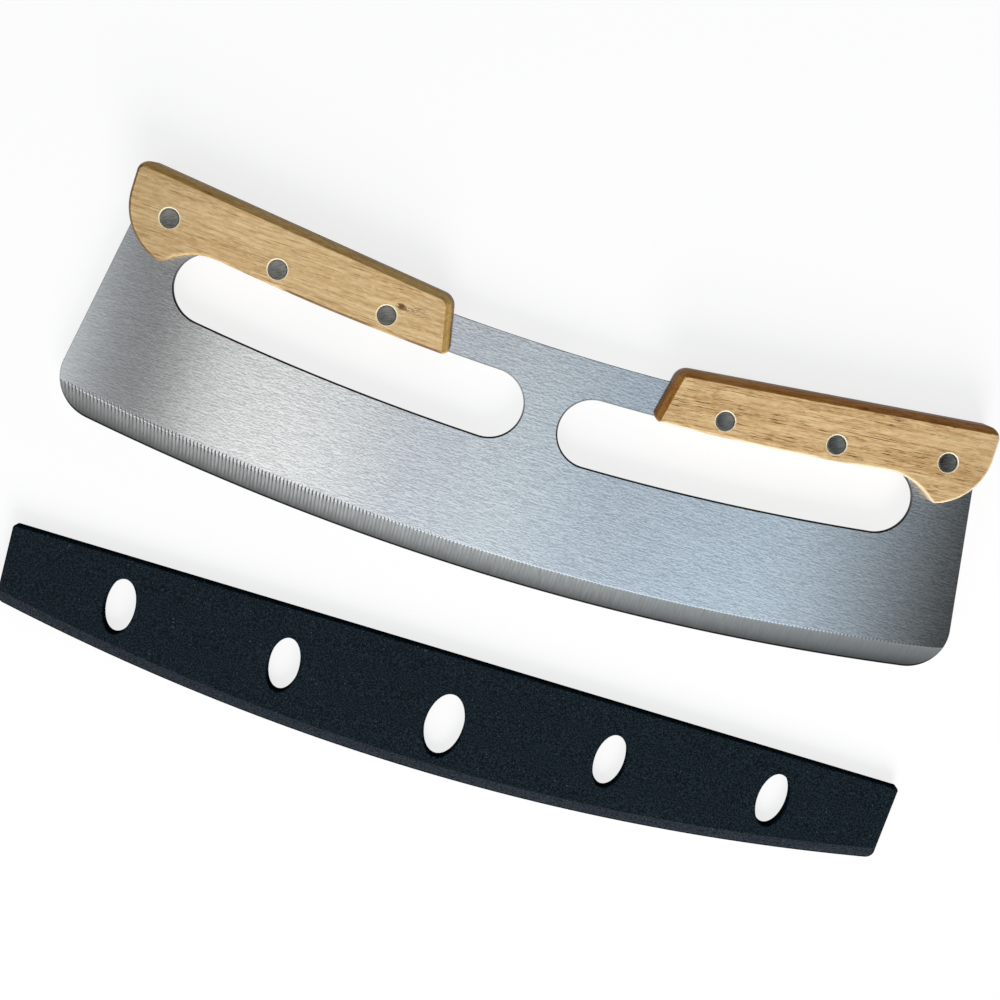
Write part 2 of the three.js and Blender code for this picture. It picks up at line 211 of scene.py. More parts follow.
# %% [markdown]
# A stamped plate, a wooden scale and a moulded guard are all the same kind of surface: flat faces
# joined by an edge profile that is carried along each outline. One way would be to extrude a curve
# and add a Bevel modifier, but here the profile changes along the way, so the rings are worked out
# as arrays. Outlines run with the material on their left: outer ones anticlockwise, holes
# clockwise. A flat face between rings is filled by a Delaunay triangulation.

# %% Rings carried along an outline
def left_normals(outline):
    """Unit vectors into the material at each point, lengthened where the outline turns."""
    ahead = np.roll(outline, -1, 0) - outline
    ahead /= np.linalg.norm(ahead, axis=1, keepdims=True)
    behind = np.roll(ahead, 1, 0)
    left = np.stack([-(ahead + behind)[:, 1], (ahead + behind)[:, 0]], -1)
    return left / (1 + np.sum(ahead * behind, 1))[:, None]


def rings(outline, insets, levels):
    """Ring k holds the outline moved inwards by insets[k], at the height levels[k]."""
    insets = np.broadcast_to(np.asarray(insets, float).T, (len(outline), len(insets))).T
    levels = np.broadcast_to(np.asarray(levels, float).T, (len(outline), len(levels))).T
    flat = outline[None] + insets[..., None] * left_normals(outline)[None]
    return np.concatenate([flat, levels[..., None]], -1)


def grid_quads(rows, columns, closed):
    """Quads of a grid of points, row by row. A closed grid joins its last column to its first."""
    index = np.arange(rows * columns).reshape(rows, columns)
    after = np.roll(index, -1, 1) if closed else index[:, 1:]
    here = index if closed else index[:, :-1]
    return np.stack([here[:-1], here[1:], after[1:], after[:-1]], -1).reshape(-1, 4)


def strip(points, finish=0, closed=True, flipped=False):
    """A block of quads over a grid of rings, which face away from the material."""
    quads = grid_quads(points.shape[0], points.shape[1], closed)
    return points.reshape(-1, 3), quads[:, ::-1] if flipped else quads, finish


def flat_fill(loops, finish=0, flipped=False):
    """A block of triangles between an outer ring and the rings of its holes, all in one plane."""
    points = np.concatenate(loops)
    numbers = np.split(np.arange(len(points)), np.cumsum([len(loop) for loop in loops])[:-1])
    outlines = [numbers[0].tolist()] + [hole[::-1].tolist() for hole in numbers[1:]]
    in_millimetres = (points[:, :2] * 1000).tolist()
    _, _, triangles, sources, _, covers = delaunay_2d_cdt(in_millimetres, [], outlines, 1, 1e-7)
    outside_holes = [list(found) == [0] for found in covers]
    triangles = np.array([found[0] for found in sources])[np.array(triangles)[outside_holes]]
    return points, triangles[:, ::-1] if flipped else triangles, finish


print("quads of a closed grid of 3 by 8:", len(grid_quads(3, 8, closed=True)))

# %% Blocks moved and mirrored
FRONT_TO_BACK = np.array([1, 1, -1])


def moved(blocks, offset):
    """Blocks moved as a whole by an offset."""
    return [(points + offset, faces, finish) for points, faces, finish in blocks]


def reflected(blocks, signs):
    """Blocks mirrored by signs of X, Y and Z, with their faces turned to point outwards again."""
    turn = -1 if np.prod(signs) < 0 else 1
    return [(points * signs, faces[:, ::turn], finish) for points, faces, finish in blocks]


def both_sides(blocks):
    """Blocks of the front, each followed by its mirror image at the back."""
    return [side for block in blocks for side in (block, *reflected([block], FRONT_TO_BACK))]


# %% Welded and smooth meshes
SAME_POINT = 1e-8


def weld(mesh):
    """Merges the points that blocks share, drops faces without area and marks the blocks' borders."""
    work = bmesh.new()
    work.from_mesh(mesh)
    bmesh.ops.remove_doubles(work, verts=work.verts, dist=SAME_POINT)
    bmesh.ops.dissolve_degenerate(work, edges=work.edges, dist=SAME_POINT)
    block = work.faces.layers.int["block"]
    for edge in work.edges:
        edge.smooth = len({face[block] for face in edge.link_faces}) == 1
    work.to_mesh(mesh)
    work.free()


def smooth(mesh, sharp_angle):
    """Shades smoothly, apart from blocks' borders and edges that turn by more than an angle."""
    mesh.polygons.foreach_set("use_smooth", np.ones(len(mesh.polygons), bool))
    borders, sharp = np.zeros((2, len(mesh.edges)), bool)
    mesh.edges.foreach_get("use_edge_sharp", borders)
    mesh.set_sharp_from_angle(angle=np.radians(sharp_angle))
    mesh.edges.foreach_get("use_edge_sharp", sharp)
    mesh.edges.foreach_set("use_edge_sharp", borders | sharp)


# %% Blocks become a piece
def put_in_scene(name, data):
    """An object for a mesh, a lamp or a camera, linked to the scene."""
    thing = bpy.data.objects.new(name, data)
    bpy.context.scene.collection.objects.link(thing)
    return thing


def make_piece(name, blocks, finishes, sharp_angle):
    """One closed mesh from blocks of points, faces and finish numbers, crisp where blocks meet."""
    starts = np.cumsum([0] + [len(points) for points, _, _ in blocks])
    mesh = bpy.data.meshes.new(name)
    points = to_frame(np.concatenate([points for points, _, _ in blocks]))
    faces = [(face + start) for (_, face, _), start in zip(blocks, starts)]
    sizes = np.concatenate([np.full(len(face), face.shape[1]) for face in faces])
    mesh.vertices.add(len(points))
    mesh.vertices.foreach_set("co", points.ravel())
    mesh.loops.add(int(sizes.sum()))
    mesh.loops.foreach_set("vertex_index", np.concatenate([face.ravel() for face in faces]))
    mesh.polygons.add(len(sizes))
    mesh.polygons.foreach_set("loop_start", np.cumsum(sizes) - sizes)
    finish_numbers = np.concatenate([np.full(len(face), finish) for _, face, finish in blocks])
    mesh.polygons.foreach_set("material_index", finish_numbers)
    mesh.update(calc_edges=True)
    block_numbers = np.repeat(np.arange(len(faces)), [len(face) for face in faces])
    mesh.attributes.new("block", "INT", "FACE").data.foreach_set("value", block_numbers)
    for finish in finishes:
        mesh.materials.append(finish)
    weld(mesh)
    smooth(mesh, sharp_angle)
    return put_in_scene(name, mesh)


def report(piece):
    """Prints a piece's size in triangles, and how many of its edges aren't shared by two faces."""
    work = bmesh.new()
    work.from_mesh(piece.data)
    open_edges = sum(not edge.is_manifold for edge in work.edges)
    volume = work.calc_volume(signed=True) * 1e6
    triangles = sum(len(face.verts) - 2 for face in work.faces)
    work.free()
    print(f"{piece.name}: {triangles} triangles, {open_edges} open edges, {volume:.2f} cm3")


# %% [markdown]
# Finishes are node trees. A short helper keeps them readable: it adds a node, sets its plain
# numbers and links its other inputs.

# %% A helper for node trees
class Nodes:
    """A node tree of a material or of the world."""

    def __init__(self, tree):
        self.tree = tree

    def add(self, kind, settings=None, **inputs):
        """A node with settings and inputs: an input is a number, a colour or another node's socket."""
        node = self.tree.nodes.new(kind)
        for name, value in (settings or {}).items():
            setattr(node, name, value)
        self.feed(node, **inputs)
        return node

    def feed(self, node, **inputs):
        """Sets or links inputs. An underscore in a name stands for a space, a number for a place."""
        for name, value in inputs.items():
            key = int(name[1:]) if name[1:].isdigit() else name.replace("_", " ")
            socket = node.inputs[key]
            if isinstance(value, bpy.types.NodeSocket):
                self.tree.links.new(value, socket)
            elif socket.type == "RGBA" and len(value) == 3:
                socket.default_value = (*value, 1)
            else:
                socket.default_value = value


# %% A helper for materials
class Finish(Nodes):
    """A material's node tree, with the piece's own coordinates to start from."""

    def __init__(self, name):
        self.material = bpy.data.materials.new(name)
        self.material.use_nodes = True
        super().__init__(self.material.node_tree)
        self.shader = self.tree.nodes["Principled BSDF"]
        self.place = self.add("ShaderNodeTexCoord").outputs["Object"]

    def surface(self, **inputs):
        """Sets or links inputs of the shader itself, and gives back the finished material."""
        self.feed(self.shader, **inputs)
        return self.material

    def cells(self, size, lean=0.0, centre=(0, 0, 0), source=None):
        """Coordinates counted in cells of a size in metres along each axis, turned by a lean."""
        node = self.add("ShaderNodeMapping", {"vector_type": "TEXTURE"}, Scale=size, Location=centre,
                        Vector=source or self.place, Rotation=(0, 0, lean))
        return node.outputs[0]

    def parts(self, vector=None):
        """The three coordinates of the place on the piece, or of another vector."""
        return self.add("ShaderNodeSeparateXYZ", Vector=vector or self.place).outputs

    def noise(self, size, detail=2.0, distortion=0.0, **where):
        """Smooth noise from 0 to 1 in cells of a size."""
        node = self.add("ShaderNodeTexNoise", Vector=self.cells(size, **where), Scale=1.0,
                        Detail=detail, Distortion=distortion)
        return node.outputs["Fac"]

    def between(self, value, low, high, out_low=0.0, out_high=1.0):
        """Carries a range of values smoothly to another one."""
        node = self.add("ShaderNodeMapRange", {"interpolation_type": "SMOOTHSTEP"},
                        _0=value, _1=low, _2=high, _3=out_low, _4=out_high)
        return node.outputs[0]

    def math(self, operation, first, *others):
        """Carries an operation through a row of values, which are numbers or sockets."""
        for other in others or (0.0,):
            node = self.add("ShaderNodeMath", {"operation": operation}, _0=first, _1=other)
            first = node.outputs[0]
        return first

    def products(self, *pairs):
        """The sum of the products of pairs, such as values and their weights."""
        return self.math("ADD", *(self.math("MULTIPLY", *pair) for pair in pairs))

    def blend(self, share, first, second, mode="MIX"):
        """Mixes two colours by a share from 0 to 1."""
        node = self.add("ShaderNodeMix", {"data_type": "RGBA", "blend_type": mode},
                        _0=share, _6=first, _7=second)
        return node.outputs[2]

    def attribute(self, name):
        """A number that the mesh keeps for each of its points."""
        return self.add("ShaderNodeAttribute", {"attribute_name": name}).outputs["Fac"]

    def bump(self, height, distance):
        """A normal tilted as if a height from 0 to 1 rose by a distance."""
        return self.add("ShaderNodeBump", Height=height, Distance=distance, Strength=1.0).outputs[0]


def colour(red, green, blue):
    """A colour read off a picture, 0 to 255, as the linear light that Blender works in."""
    share = np.array([red, green, blue]) / 255
    return tuple(np.where(share > 0.04045, ((share + 0.055) / 1.055) ** 2.4, share / 12.92))


# %% [markdown]
# The blade is brushed along its length. Brushing leaves fine scratches that spread a reflection
# across them, so the steel is anisotropic: sharp along the blade and soft across it. Streaks and
# hairs vary the colour and the gloss. They could be painted as a picture, but noise stays sharp
# from close up. Each scratch has a painted highlight on one flank and painted shade on the other,
# so the same noise, moved sideways by a scratch's width, is taken off it. At the left end the
# brushing is faint. The ground bevel is duller, and an attribute of the mesh paints shade on it:
# darker towards the edge, towards the left end and in the flutes, with a painted highlight on the
# ridges between them. A strip along the top of the bevel is painted bright as a highlight line.
# The honed edge and the punched sides are painted near black as shade, apart from the rims above
# the slots, which catch the light as a painted highlight.

# %% Steel finishes
SCRATCH_WIDTH = 0.00057
FLANK_SHADE = 0.33
FAINT_STRETCH = (-0.155, -0.11)
FAINT_AND_FULL = (0.25, 1.1)


def brushing(finish, offset):
    """Short streaks and long hairs, moved across the blade by an offset, as a value around 0."""
    place = (0, offset, 0)
    streak = finish.noise((0.0014, 0.0002, 0.0002), detail=1, distortion=0.15, centre=place)
    hair = finish.noise((0.0060, 0.00018, 0.00018), detail=1, centre=place)
    return finish.math("SUBTRACT", finish.products((streak, 0.55), (hair, 0.45)), 0.5)


def brushed_steel(name, dark, bright):
    """Steel that mirrors softly across the brushing, in two tones that the scratches mix."""
    finish = Finish(name)
    scratch = brushing(finish, 0.0)
    flank = finish.math("MULTIPLY", brushing(finish, SCRATCH_WIDTH), FLANK_SHADE)
    strength = finish.between(finish.parts()["X"], *FAINT_STRETCH, *FAINT_AND_FULL)
    # Painted highlight and shade: each scratch minus a moved copy of itself, its dark flank.
    relief = finish.math("MULTIPLY", finish.math("SUBTRACT", scratch, flank), strength)
    tangent = finish.add("ShaderNodeTangent", {"direction_type": "UV_MAP", "uv_map": "grain"})
    return finish.surface(
        Base_Color=finish.blend(finish.between(relief, -0.06, 0.06), dark, bright),
        Metallic=1.0,
        Roughness=finish.between(scratch, -0.25, 0.25, 0.17, 0.21),
        Anisotropic=0.95,
        Anisotropic_Rotation=0.25,
        Tangent=tangent.outputs[0],
        Normal=finish.bump(scratch, 0.4e-5),
    )


def ground_steel():
    """Duller steel, finely scratched across the bevel, with painted shade and highlight from the mesh."""
    finish = Finish("ground_bevel")
    scratch = finish.noise((0.0003, 0.004, 0.004), detail=3)
    ground = finish.blend(finish.attribute("shade"), (0.015, 0.015, 0.015), (0.95, 0.93, 0.89))
    scored = finish.between(scratch, 0.35, 0.65, 0.0, 0.12)
    return finish.surface(
        Base_Color=finish.blend(scored, ground, (0.12, 0.12, 0.115)),
        Metallic=1.0,
        Roughness=finish.between(scratch, 0.3, 0.7, 0.42, 0.52),
        Normal=finish.bump(scratch, 0.3e-5),
    )


def cut_steel():
    """Punched sides painted near black as shade, with a painted highlight where the mesh says."""
    finish = Finish("cut_edge")
    grain = finish.noise((0.0011, 0.0011, 0.0004), detail=3)
    cut = finish.blend(grain, (0.012, 0.012, 0.013), (0.05, 0.05, 0.05))
    return finish.surface(
        Base_Color=finish.blend(finish.attribute("rim_highlight"), cut, (0.70, 0.71, 0.72)),
        Metallic=1.0,
        Roughness=0.5,
        Normal=finish.bump(grain, 2e-5),
    )


# The second finish is a strip painted bright along the bevel's top, as a highlight line.
BLADE_FINISHES = [
    brushed_steel("brushed_blade", (0.465, 0.475, 0.485), (0.815, 0.82, 0.825)),
    brushed_steel("painted_highlight_line", (0.80, 0.81, 0.82), (0.92, 0.92, 0.92)),
    ground_steel(),
    cut_steel(),
]
BRUSHED, HIGHLIGHT_LINE, GROUND, CUT = range(4)
print("steel finishes:", [finish.name for finish in BLADE_FINISHES])

# %% [markdown]
# The blade is a plate of one thickness, ground to a bevel along the edge on both faces. The
# grinding stone leaves a comb of short flutes where the bevel starts, which fan out towards the
# ends. The bevel is a grid: one parameter runs along the edge, the other from the edge up to the
# line where the flat face starts, and the flutes are sunk into it.

# %% The blade's outline above the bevel
BLADE_LENGTH = 0.3556
BLADE_HALF = 0.00075
BEVEL_WIDTH = 0.0094
CORNER_RADIUS = 0.016
END_LEAN = np.radians(11.9)
BAR_HEIGHT = 0.0914

corner_x = BLADE_LENGTH / 2 - CORNER_RADIUS
corner_centre = np.array(
    [corner_x, EDGE_RADIUS - np.sqrt((EDGE_RADIUS - CORNER_RADIUS) ** 2 - corner_x**2)])
corner_distance = np.hypot(*(corner_centre - EDGE_CENTRE))
run_out_point = meeting_point(
    corner_centre, CORNER_RADIUS, EDGE_CENTRE, EDGE_RADIUS - BEVEL_WIDTH)


def line_meets_circle(point, direction, centre, radius):
    """Where a line from a point first reaches a circle, going along its direction."""
    direction = unit(direction)
    offset = np.asarray(point) - centre
    along = -offset @ direction
    half_chord = np.sqrt(along**2 - offset @ offset + radius**2)
    steps = np.array([along - half_chord, along + half_chord])
    return point + direction * steps[steps > 0].min()


def blade_upper_half():
    """The right half of the outline, from the end of the bevel up round the handle to the middle."""
    start = heading(run_out_point - corner_centre)
    lower_corner = arc(corner_centre, CORNER_RADIUS, start, END_LEAN)
    lean = np.array([-np.sin(END_LEAN), np.cos(END_LEAN)])
    lobe_crossing = line_meets_circle(lower_corner[-1], lean, LOBE_CENTRE, LOBE_RADIUS)
    lobe = arc(LOBE_CENTRE, LOBE_RADIUS, heading(lobe_crossing - LOBE_CENTRE), lobe_end)
    stretches = handle_stretches()
    down_end = handle_low_inner - HANDLE_TOP_INNER
    bar_crossing = line_meets_circle(
        HANDLE_TOP_INNER, down_end, EDGE_CENTRE, EDGE_RADIUS - BAR_HEIGHT)
    bar = blade_curve(BAR_HEIGHT, blade_angle(BAR_HEIGHT, bar_crossing[0]), 0)
    return np.concatenate(
        [lower_corner[1:], lobe, stretches["outer corner"], stretches["inner corner"], bar])


upper_half = blade_upper_half()
blade_upper = np.concatenate([upper_half, mirrored(upper_half)[1:]])
print("points round the upper outline:", len(blade_upper))

# %% Flutes along the bevel
EDGE_HALF = 0.00006
HONED_WIDTH = 0.0007
HONED_HALF = 0.0002
FLUTE_PITCH = 0.00148
FLUTE_DEPTH = 0.00009
FLUTE_RISE = 0.0013
FLUTE_FAN = 2.4
FLUTE_SHARPNESS = 2.5
FLUTE_RUN_OUT = 0.0002
END_FADE = 1 / 40
COLUMNS_PER_FLUTE = 9
BEVEL_ROWS = np.r_[0, 0.04, 0.075, 0.14, 0.24, 0.36, 0.48, 0.60, 0.70, 0.79, 0.86, 0.91, 0.955, 1]
HONED_ROWS = 2

run_out_angle = np.arcsin(run_out_point[0] / (EDGE_RADIUS - BEVEL_WIDTH))
flute_count = int(2 * run_out_angle * EDGE_RADIUS / FLUTE_PITCH)
bevel_angle = np.linspace(-run_out_angle, run_out_angle, flute_count * COLUMNS_PER_FLUTE + 1)


def edge_height(angle):
    """Zero along the edge, and along the rounded corners the height at which a ray leaves them."""
    corner_heading = heading(corner_centre - EDGE_CENTRE) + QUARTER
    across = corner_distance * np.sin(np.abs(angle) - corner_heading)
    along = corner_distance * np.cos(np.abs(angle) - corner_heading)
    reach = along + np.sqrt(np.maximum(CORNER_RADIUS**2 - across**2, 0))
    return np.where(np.abs(angle) > corner_heading, EDGE_RADIUS - reach, 0)


def bevel_half_thickness(height):
    """Half the blade's thickness: a honed edge, then an even slope up to the flat face."""
    return np.interp(height, [0, HONED_WIDTH, BEVEL_WIDTH], [EDGE_HALF, HONED_HALF, BLADE_HALF])


def flute(along, height):
    """From 0 on a ridge to 1 in a flute. Flutes lean further from the middle towards the ends."""
    lean = np.tan(FLUTE_FAN * along / EDGE_RADIUS)
    phase = (along - (height - BEVEL_WIDTH) * lean) / FLUTE_PITCH
    return (0.5 + 0.5 * np.cos(2 * np.pi * phase)) ** FLUTE_SHARPNESS


def along_share(along):
    """From -1 at the left end of the bevel to 1 at its right end."""
    return np.clip(along / (run_out_angle * EDGE_RADIUS), -1, 1)


def flute_strength(along):
    """The stone bit hardest towards the left end, and it left the right end almost smooth."""
    share = along_share(along)
    ends = np.clip((1 - np.abs(share)) / END_FADE, 0, 1)
    bite = np.interp(
        share, [-1, -0.7, -0.45, -0.25, 0, 0.4, 1], [0.9, 1.05, 1.2, 0.65, 0.32, 0.18, 0.08])
    return ends * bite


def flute_fade(along, height):
    """Deep at the top line, for longest at the left, then a faint stripe down to the edge."""
    reach = np.interp(along_share(along), [-1, -0.5, 0, 1], [0.0036, 0.0024, 0.0016, 0.0012])
    below = (BEVEL_WIDTH - height) / reach
    deep = np.clip(1.5 - below, 0, 1)
    faint = np.interp(along_share(along), [-1, -0.6, -0.2], [0.42, 0.55, 0.38])
    return np.maximum(deep, faint * np.interp(height, [0.001, 0.004], [0, 1]))


print("flutes:", flute_count, "at the left end as deep as", flute_strength(-0.15).round(2))


# %% The bevel
def bevel_grid():
    """Points from the edge to the bevel's top line, sunk by the flutes."""
    along = bevel_angle * EDGE_RADIUS
    strength = flute_strength(along)
    low = edge_height(bevel_angle)
    top = BEVEL_WIDTH + FLUTE_RISE * strength * (flute(along, BEVEL_WIDTH) - 0.5)
    top = np.maximum(top, low)
    height = low + (top - low) * BEVEL_ROWS[:, None]
    run_out = np.clip((top - height) / FLUTE_RUN_OUT, 0, 1)
    sunk = FLUTE_DEPTH * strength * flute_fade(along, height) * run_out * flute(along, height)
    flat = blade_point(height, bevel_angle)
    level = bevel_half_thickness(height) - sunk
    level[-1] = BLADE_HALF
    return np.concatenate([flat, level[..., None]], -1)


bevel = bevel_grid()
print("bevel grid:", bevel.shape[:2])

# %% Slots and holes
SLOT_HEIGHT = 0.0512
SLOT_WIDTH = 0.0261
SLOT_INNER_X = 0.0204
SLOT_OUTER_X = 0.1321
SLOT_ROUND = 0.0006
SLOT_RADIUS = SLOT_WIDTH / 2
SLOT_MIDDLE = SLOT_HEIGHT + SLOT_RADIUS
SLOT_ENDS = blade_angle(SLOT_MIDDLE, np.array([SLOT_INNER_X, SLOT_OUTER_X]))
SIDES = {"left": -1, "right": 1}
RIVET_HEIGHT = 0.0827
RIVET_ANGLES = {"inner": np.radians(4.09), "middle": np.radians(6.75), "outer": np.radians(9.4)}
SHANK_HOLE = 0.0028


def slot_outline():
    """A finger slot: two sides that follow the edge, and round ends."""
    inner, outer = SLOT_ENDS
    outer_centre, inner_centre = blade_point(SLOT_MIDDLE, outer), blade_point(SLOT_MIDDLE, inner)
    return np.concatenate([
        blade_curve(SLOT_HEIGHT, inner, outer),
        arc(outer_centre, SLOT_RADIUS, outer - QUARTER, outer + QUARTER)[1:-1],
        blade_curve(SLOT_HEIGHT + SLOT_WIDTH, outer, inner),
        arc(inner_centre, SLOT_RADIUS, inner + QUARTER, inner + 3 * QUARTER)[1:-1],
    ])


def rivet_places(side):
    """Centres of a handle's three rivets, by their position along it."""
    return {
        position: blade_point(RIVET_HEIGHT, SIDES[side] * angle)
        for position, angle in RIVET_ANGLES.items()
    }


def circle(centre, radius):
    """A full circle, anticlockwise, without its repeated last point."""
    return arc(centre, radius, 0, 2 * np.pi)[:-1]


print("points round a slot:", len(slot_outline()))

# %% The blade
RIM_ROUND = 0.2
SHARP_TURN = 30


def rim(outline, half, roundness):
    """The edge of a plate: a quarter round from the front face, the side, and the same behind."""
    turn = np.radians([0, 22.5, 45, 67.5, 90])[:, None]
    inset = roundness * (1 - np.sin(turn))
    level = half - roundness * (1 - np.cos(turn))
    return rings(outline, np.concatenate([inset, inset[::-1]]), np.concatenate([level, -level[::-1]]))


def blade_blocks():
    """The bevels, the rims of the outline and of each hole, and the flat faces between them."""
    edge = bevel[0, :, :2]
    outline = np.concatenate([edge, blade_upper[:-1]])
    half = bevel_half_thickness(height_above_edge(outline))
    outer = rim(outline, half, RIM_ROUND * half)
    front = bevel.copy()
    front[0] = outer[0, :len(edge)]
    front[:, [0, -1]] = outer[0, [0, len(edge) - 1]]
    holes = [slot_outline(), mirrored(slot_outline())]
    for side in SIDES:
        holes += [circle(place, SHANK_HOLE) for place in rivet_places(side).values()]
    rims = [rim(hole[::-1], np.full(len(hole), BLADE_HALF), SLOT_ROUND) for hole in holes]
    face = [np.concatenate([front[-1], outer[0, len(edge):]])] + [ring[0] for ring in rims]
    fronts = [
        flat_fill(face, BRUSHED),
        strip(front[-2:], HIGHLIGHT_LINE, closed=False, flipped=True),
        strip(front[HONED_ROWS:-1], GROUND, closed=False, flipped=True),
        # The honed edge gets the cut steel, painted near black as shade.
        strip(front[:HONED_ROWS + 1], CUT, closed=False, flipped=True),
    ]
    return both_sides(fronts) + [strip(ring, CUT) for ring in (outer, *rims)]


blade = make_piece("brushed_blade", blade_blocks(), BLADE_FINISHES, SHARP_TURN)
report(blade)

# %% What the blade's finishes read
# Painted light on the flutes: a highlight on their ridges and shade in their hollows.
RIDGE_GLEAM = 0.6
HOLLOW_SHADE = 0.97
DARKEST_HOLLOW = 0.98


def drawn_points(piece):
    """A piece's points, carried back from the frame to the blade's plane."""
    points = np.empty(len(piece.data.vertices) * 3)
    piece.data.vertices.foreach_get("co", points)
    return (points.reshape(-1, 3) - blade_origin) @ lay_flat


def add_attribute(piece, name, values):
    """Keeps a number for each point of a piece, for a finish to read."""
    layer = piece.data.attributes.new(name, "FLOAT", "POINT")
    layer.data.foreach_set("value", values.astype(float))
    print(f"{piece.name}, {name}: on {np.mean(values > 0):.0%} of its points")


def bevel_shade(points):
    """Painted shade of the bevel: darker towards the edge and in the flutes, a highlight between them."""
    height = height_above_edge(points)
    along = np.arctan2(points[:, 0], EDGE_RADIUS - points[:, 1]) * EDGE_RADIUS
    shade = np.interp(
        height, [0, 0.002, 0.005, 0.0085, BEVEL_WIDTH], [0.112, 0.288, 0.474, 0.62, 0.72])
    # Painted shade, darker towards the left end.
    shade *= np.interp(along_share(along), [-1, -0.7, -0.4, -0.2], [0.6, 0.8, 0.95, 1])
    fluted = flute_strength(along) * flute_fade(along, height)
    hollow = np.minimum(HOLLOW_SHADE * fluted, DARKEST_HOLLOW) * flute(along, height)
    return shade * (1 + RIDGE_GLEAM * fluted) * (1 - hollow)


def slot_rim_highlight(points):
    """A painted highlight on the slots' eased rims: most above a slot, less at its ends, none below.

    A rim lies half a slot's width away from the slot's middle line, which follows the edge. It is
    duller at the right end of the blade.
    """
    flat = np.abs(points[:, :2])
    angle = np.arctan2(flat[:, 0], EDGE_RADIUS - flat[:, 1])
    outward = flat - blade_point(SLOT_MIDDLE, np.clip(angle, *SLOT_ENDS))
    distance = np.linalg.norm(outward, axis=1)
    on_rim = np.interp((distance - SLOT_RADIUS) / SLOT_ROUND, [0, 0.25, 1, 1.1], [0, 1, 1, 0])
    upward = np.interp(outward[:, 1] / distance, [-0.8, -0.3, 0.3, 1], [0, 0.13, 0.45, 0.75])
    return on_rim * upward * np.interp(points[:, 0], [0.10, 0.14], [1, 0.35])


def add_grain(piece):
    """A UV map whose first direction runs along the blade, for the brushed finish to follow."""
    corners = np.empty(len(piece.data.loops), int)
    piece.data.loops.foreach_get("vertex_index", corners)
    layer = piece.data.uv_layers.new(name="grain")
    layer.uv.foreach_set("vector", drawn_points(piece)[corners, :2].ravel())


add_attribute(blade, "shade", bevel_shade(drawn_points(blade)))
add_attribute(blade, "rim_highlight", slot_rim_highlight(drawn_points(blade)))
add_grain(blade)


# %% The blade joins the frame
def settle(piece, body, slot, *nodes):
    """Tells the frame which body a piece rides and which nodes it stands for. The slot is not used."""
    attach(piece, body)
    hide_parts(*nodes)
    print(f"{piece.name} rides {body} in place of {', '.join(nodes)}")


settle(blade, "cutter", "brushed_blade", "blade")

# %% [markdown]
# The handles are a pale, oiled hardwood. A picture of wood could be laid on each face, but noise
# fills the whole board, so the figure carries on round its edges. It is made in layers, as it
# grew: broad warm and pale bands along the grain, fine fibres, rays that shimmer across them, and
# short dark pores that gather in some of the bands. One scale has a small knot, and the grain
# flows round it as water flows round a stone. The palm's rounded edges are browner than the faces,
# partly from oil and partly as painted shade where they turn from the light. More painted shade
# lies along the palm's arris and low on its sides, and on the left scales' low edges, while the
# right scales' low edges have a painted highlight. The outer ends are a little darker, and the
# rims of the rivet bores are raw wood, because they were countersunk last.

# %% Grain round a knot
KNOT_RADIUS = 0.0021
KNOT_TAIL_SPREAD = 0.16


def grain_round_knot(finish, knot):
    """Coordinates that part round a knot, by the flow past a cylinder, and a mask of the knot.

    The mask is a ragged heart and a tail of fine dark fibres, which spreads and fades along X.
    """
    ragged = finish.noise((0.0030, 0.0010, 0.0010), detail=3)
    torn = finish.noise((0.0017, 0.00036, 0.00036), detail=2, distortion=1.5)
    away = finish.add("ShaderNodeVectorMath", {"operation": "SUBTRACT"}, _0=finish.place, _1=knot)
    x, y, z = finish.parts(away.outputs[0])
    squared = finish.products((x, x), (y, y))
    softened = finish.math("ADD", squared, KNOT_RADIUS**2 / 4)
    parting = finish.math("DIVIDE", KNOT_RADIUS**2, softened)
    across = finish.math("MULTIPLY", y, finish.math("SUBTRACT", 1.0, parting))
    flow = finish.add("ShaderNodeCombineXYZ", X=x, Y=across, Z=z).outputs[0]
    spread = finish.between(ragged, 0.35, 0.65, 0.55, 1.6)
    distance = finish.math("MULTIPLY", finish.math("POWER", squared, 0.5), spread)
    heart = finish.between(distance, 0.0006, KNOT_RADIUS, 0.9, 0.0)
    tail_edge = finish.math("MULTIPLY", x, KNOT_TAIL_SPREAD)
    beside = finish.math("SUBTRACT", finish.math("ABSOLUTE", y), tail_edge)
    tail = finish.math(
        "MULTIPLY",
        finish.between(x, 0.0, 0.0012),
        finish.between(x, 0.003, 0.015, 0.9, 0.0),
        finish.between(beside, 0.0001, 0.0011, 1.0, 0.0),
        finish.between(torn, 0.46, 0.62),
    )
    return flow, finish.math("MAXIMUM", heart, tail)


# %% Wood finish
PORE = colour(104, 66, 30)
KNOT_HEART = colour(92, 58, 26)
BARE_WOOD_AND_HIGHLIGHT = colour(240, 228, 200)
# A brown for painted shade on the edges and for the darker outer ends.
SHADE_AND_DARK_END_BROWN = colour(124, 98, 70)
# The outer ends of the boards are a little darker.
DARKER_END = (0.125, 0.165)
DARKER_END_SHARE = 0.16


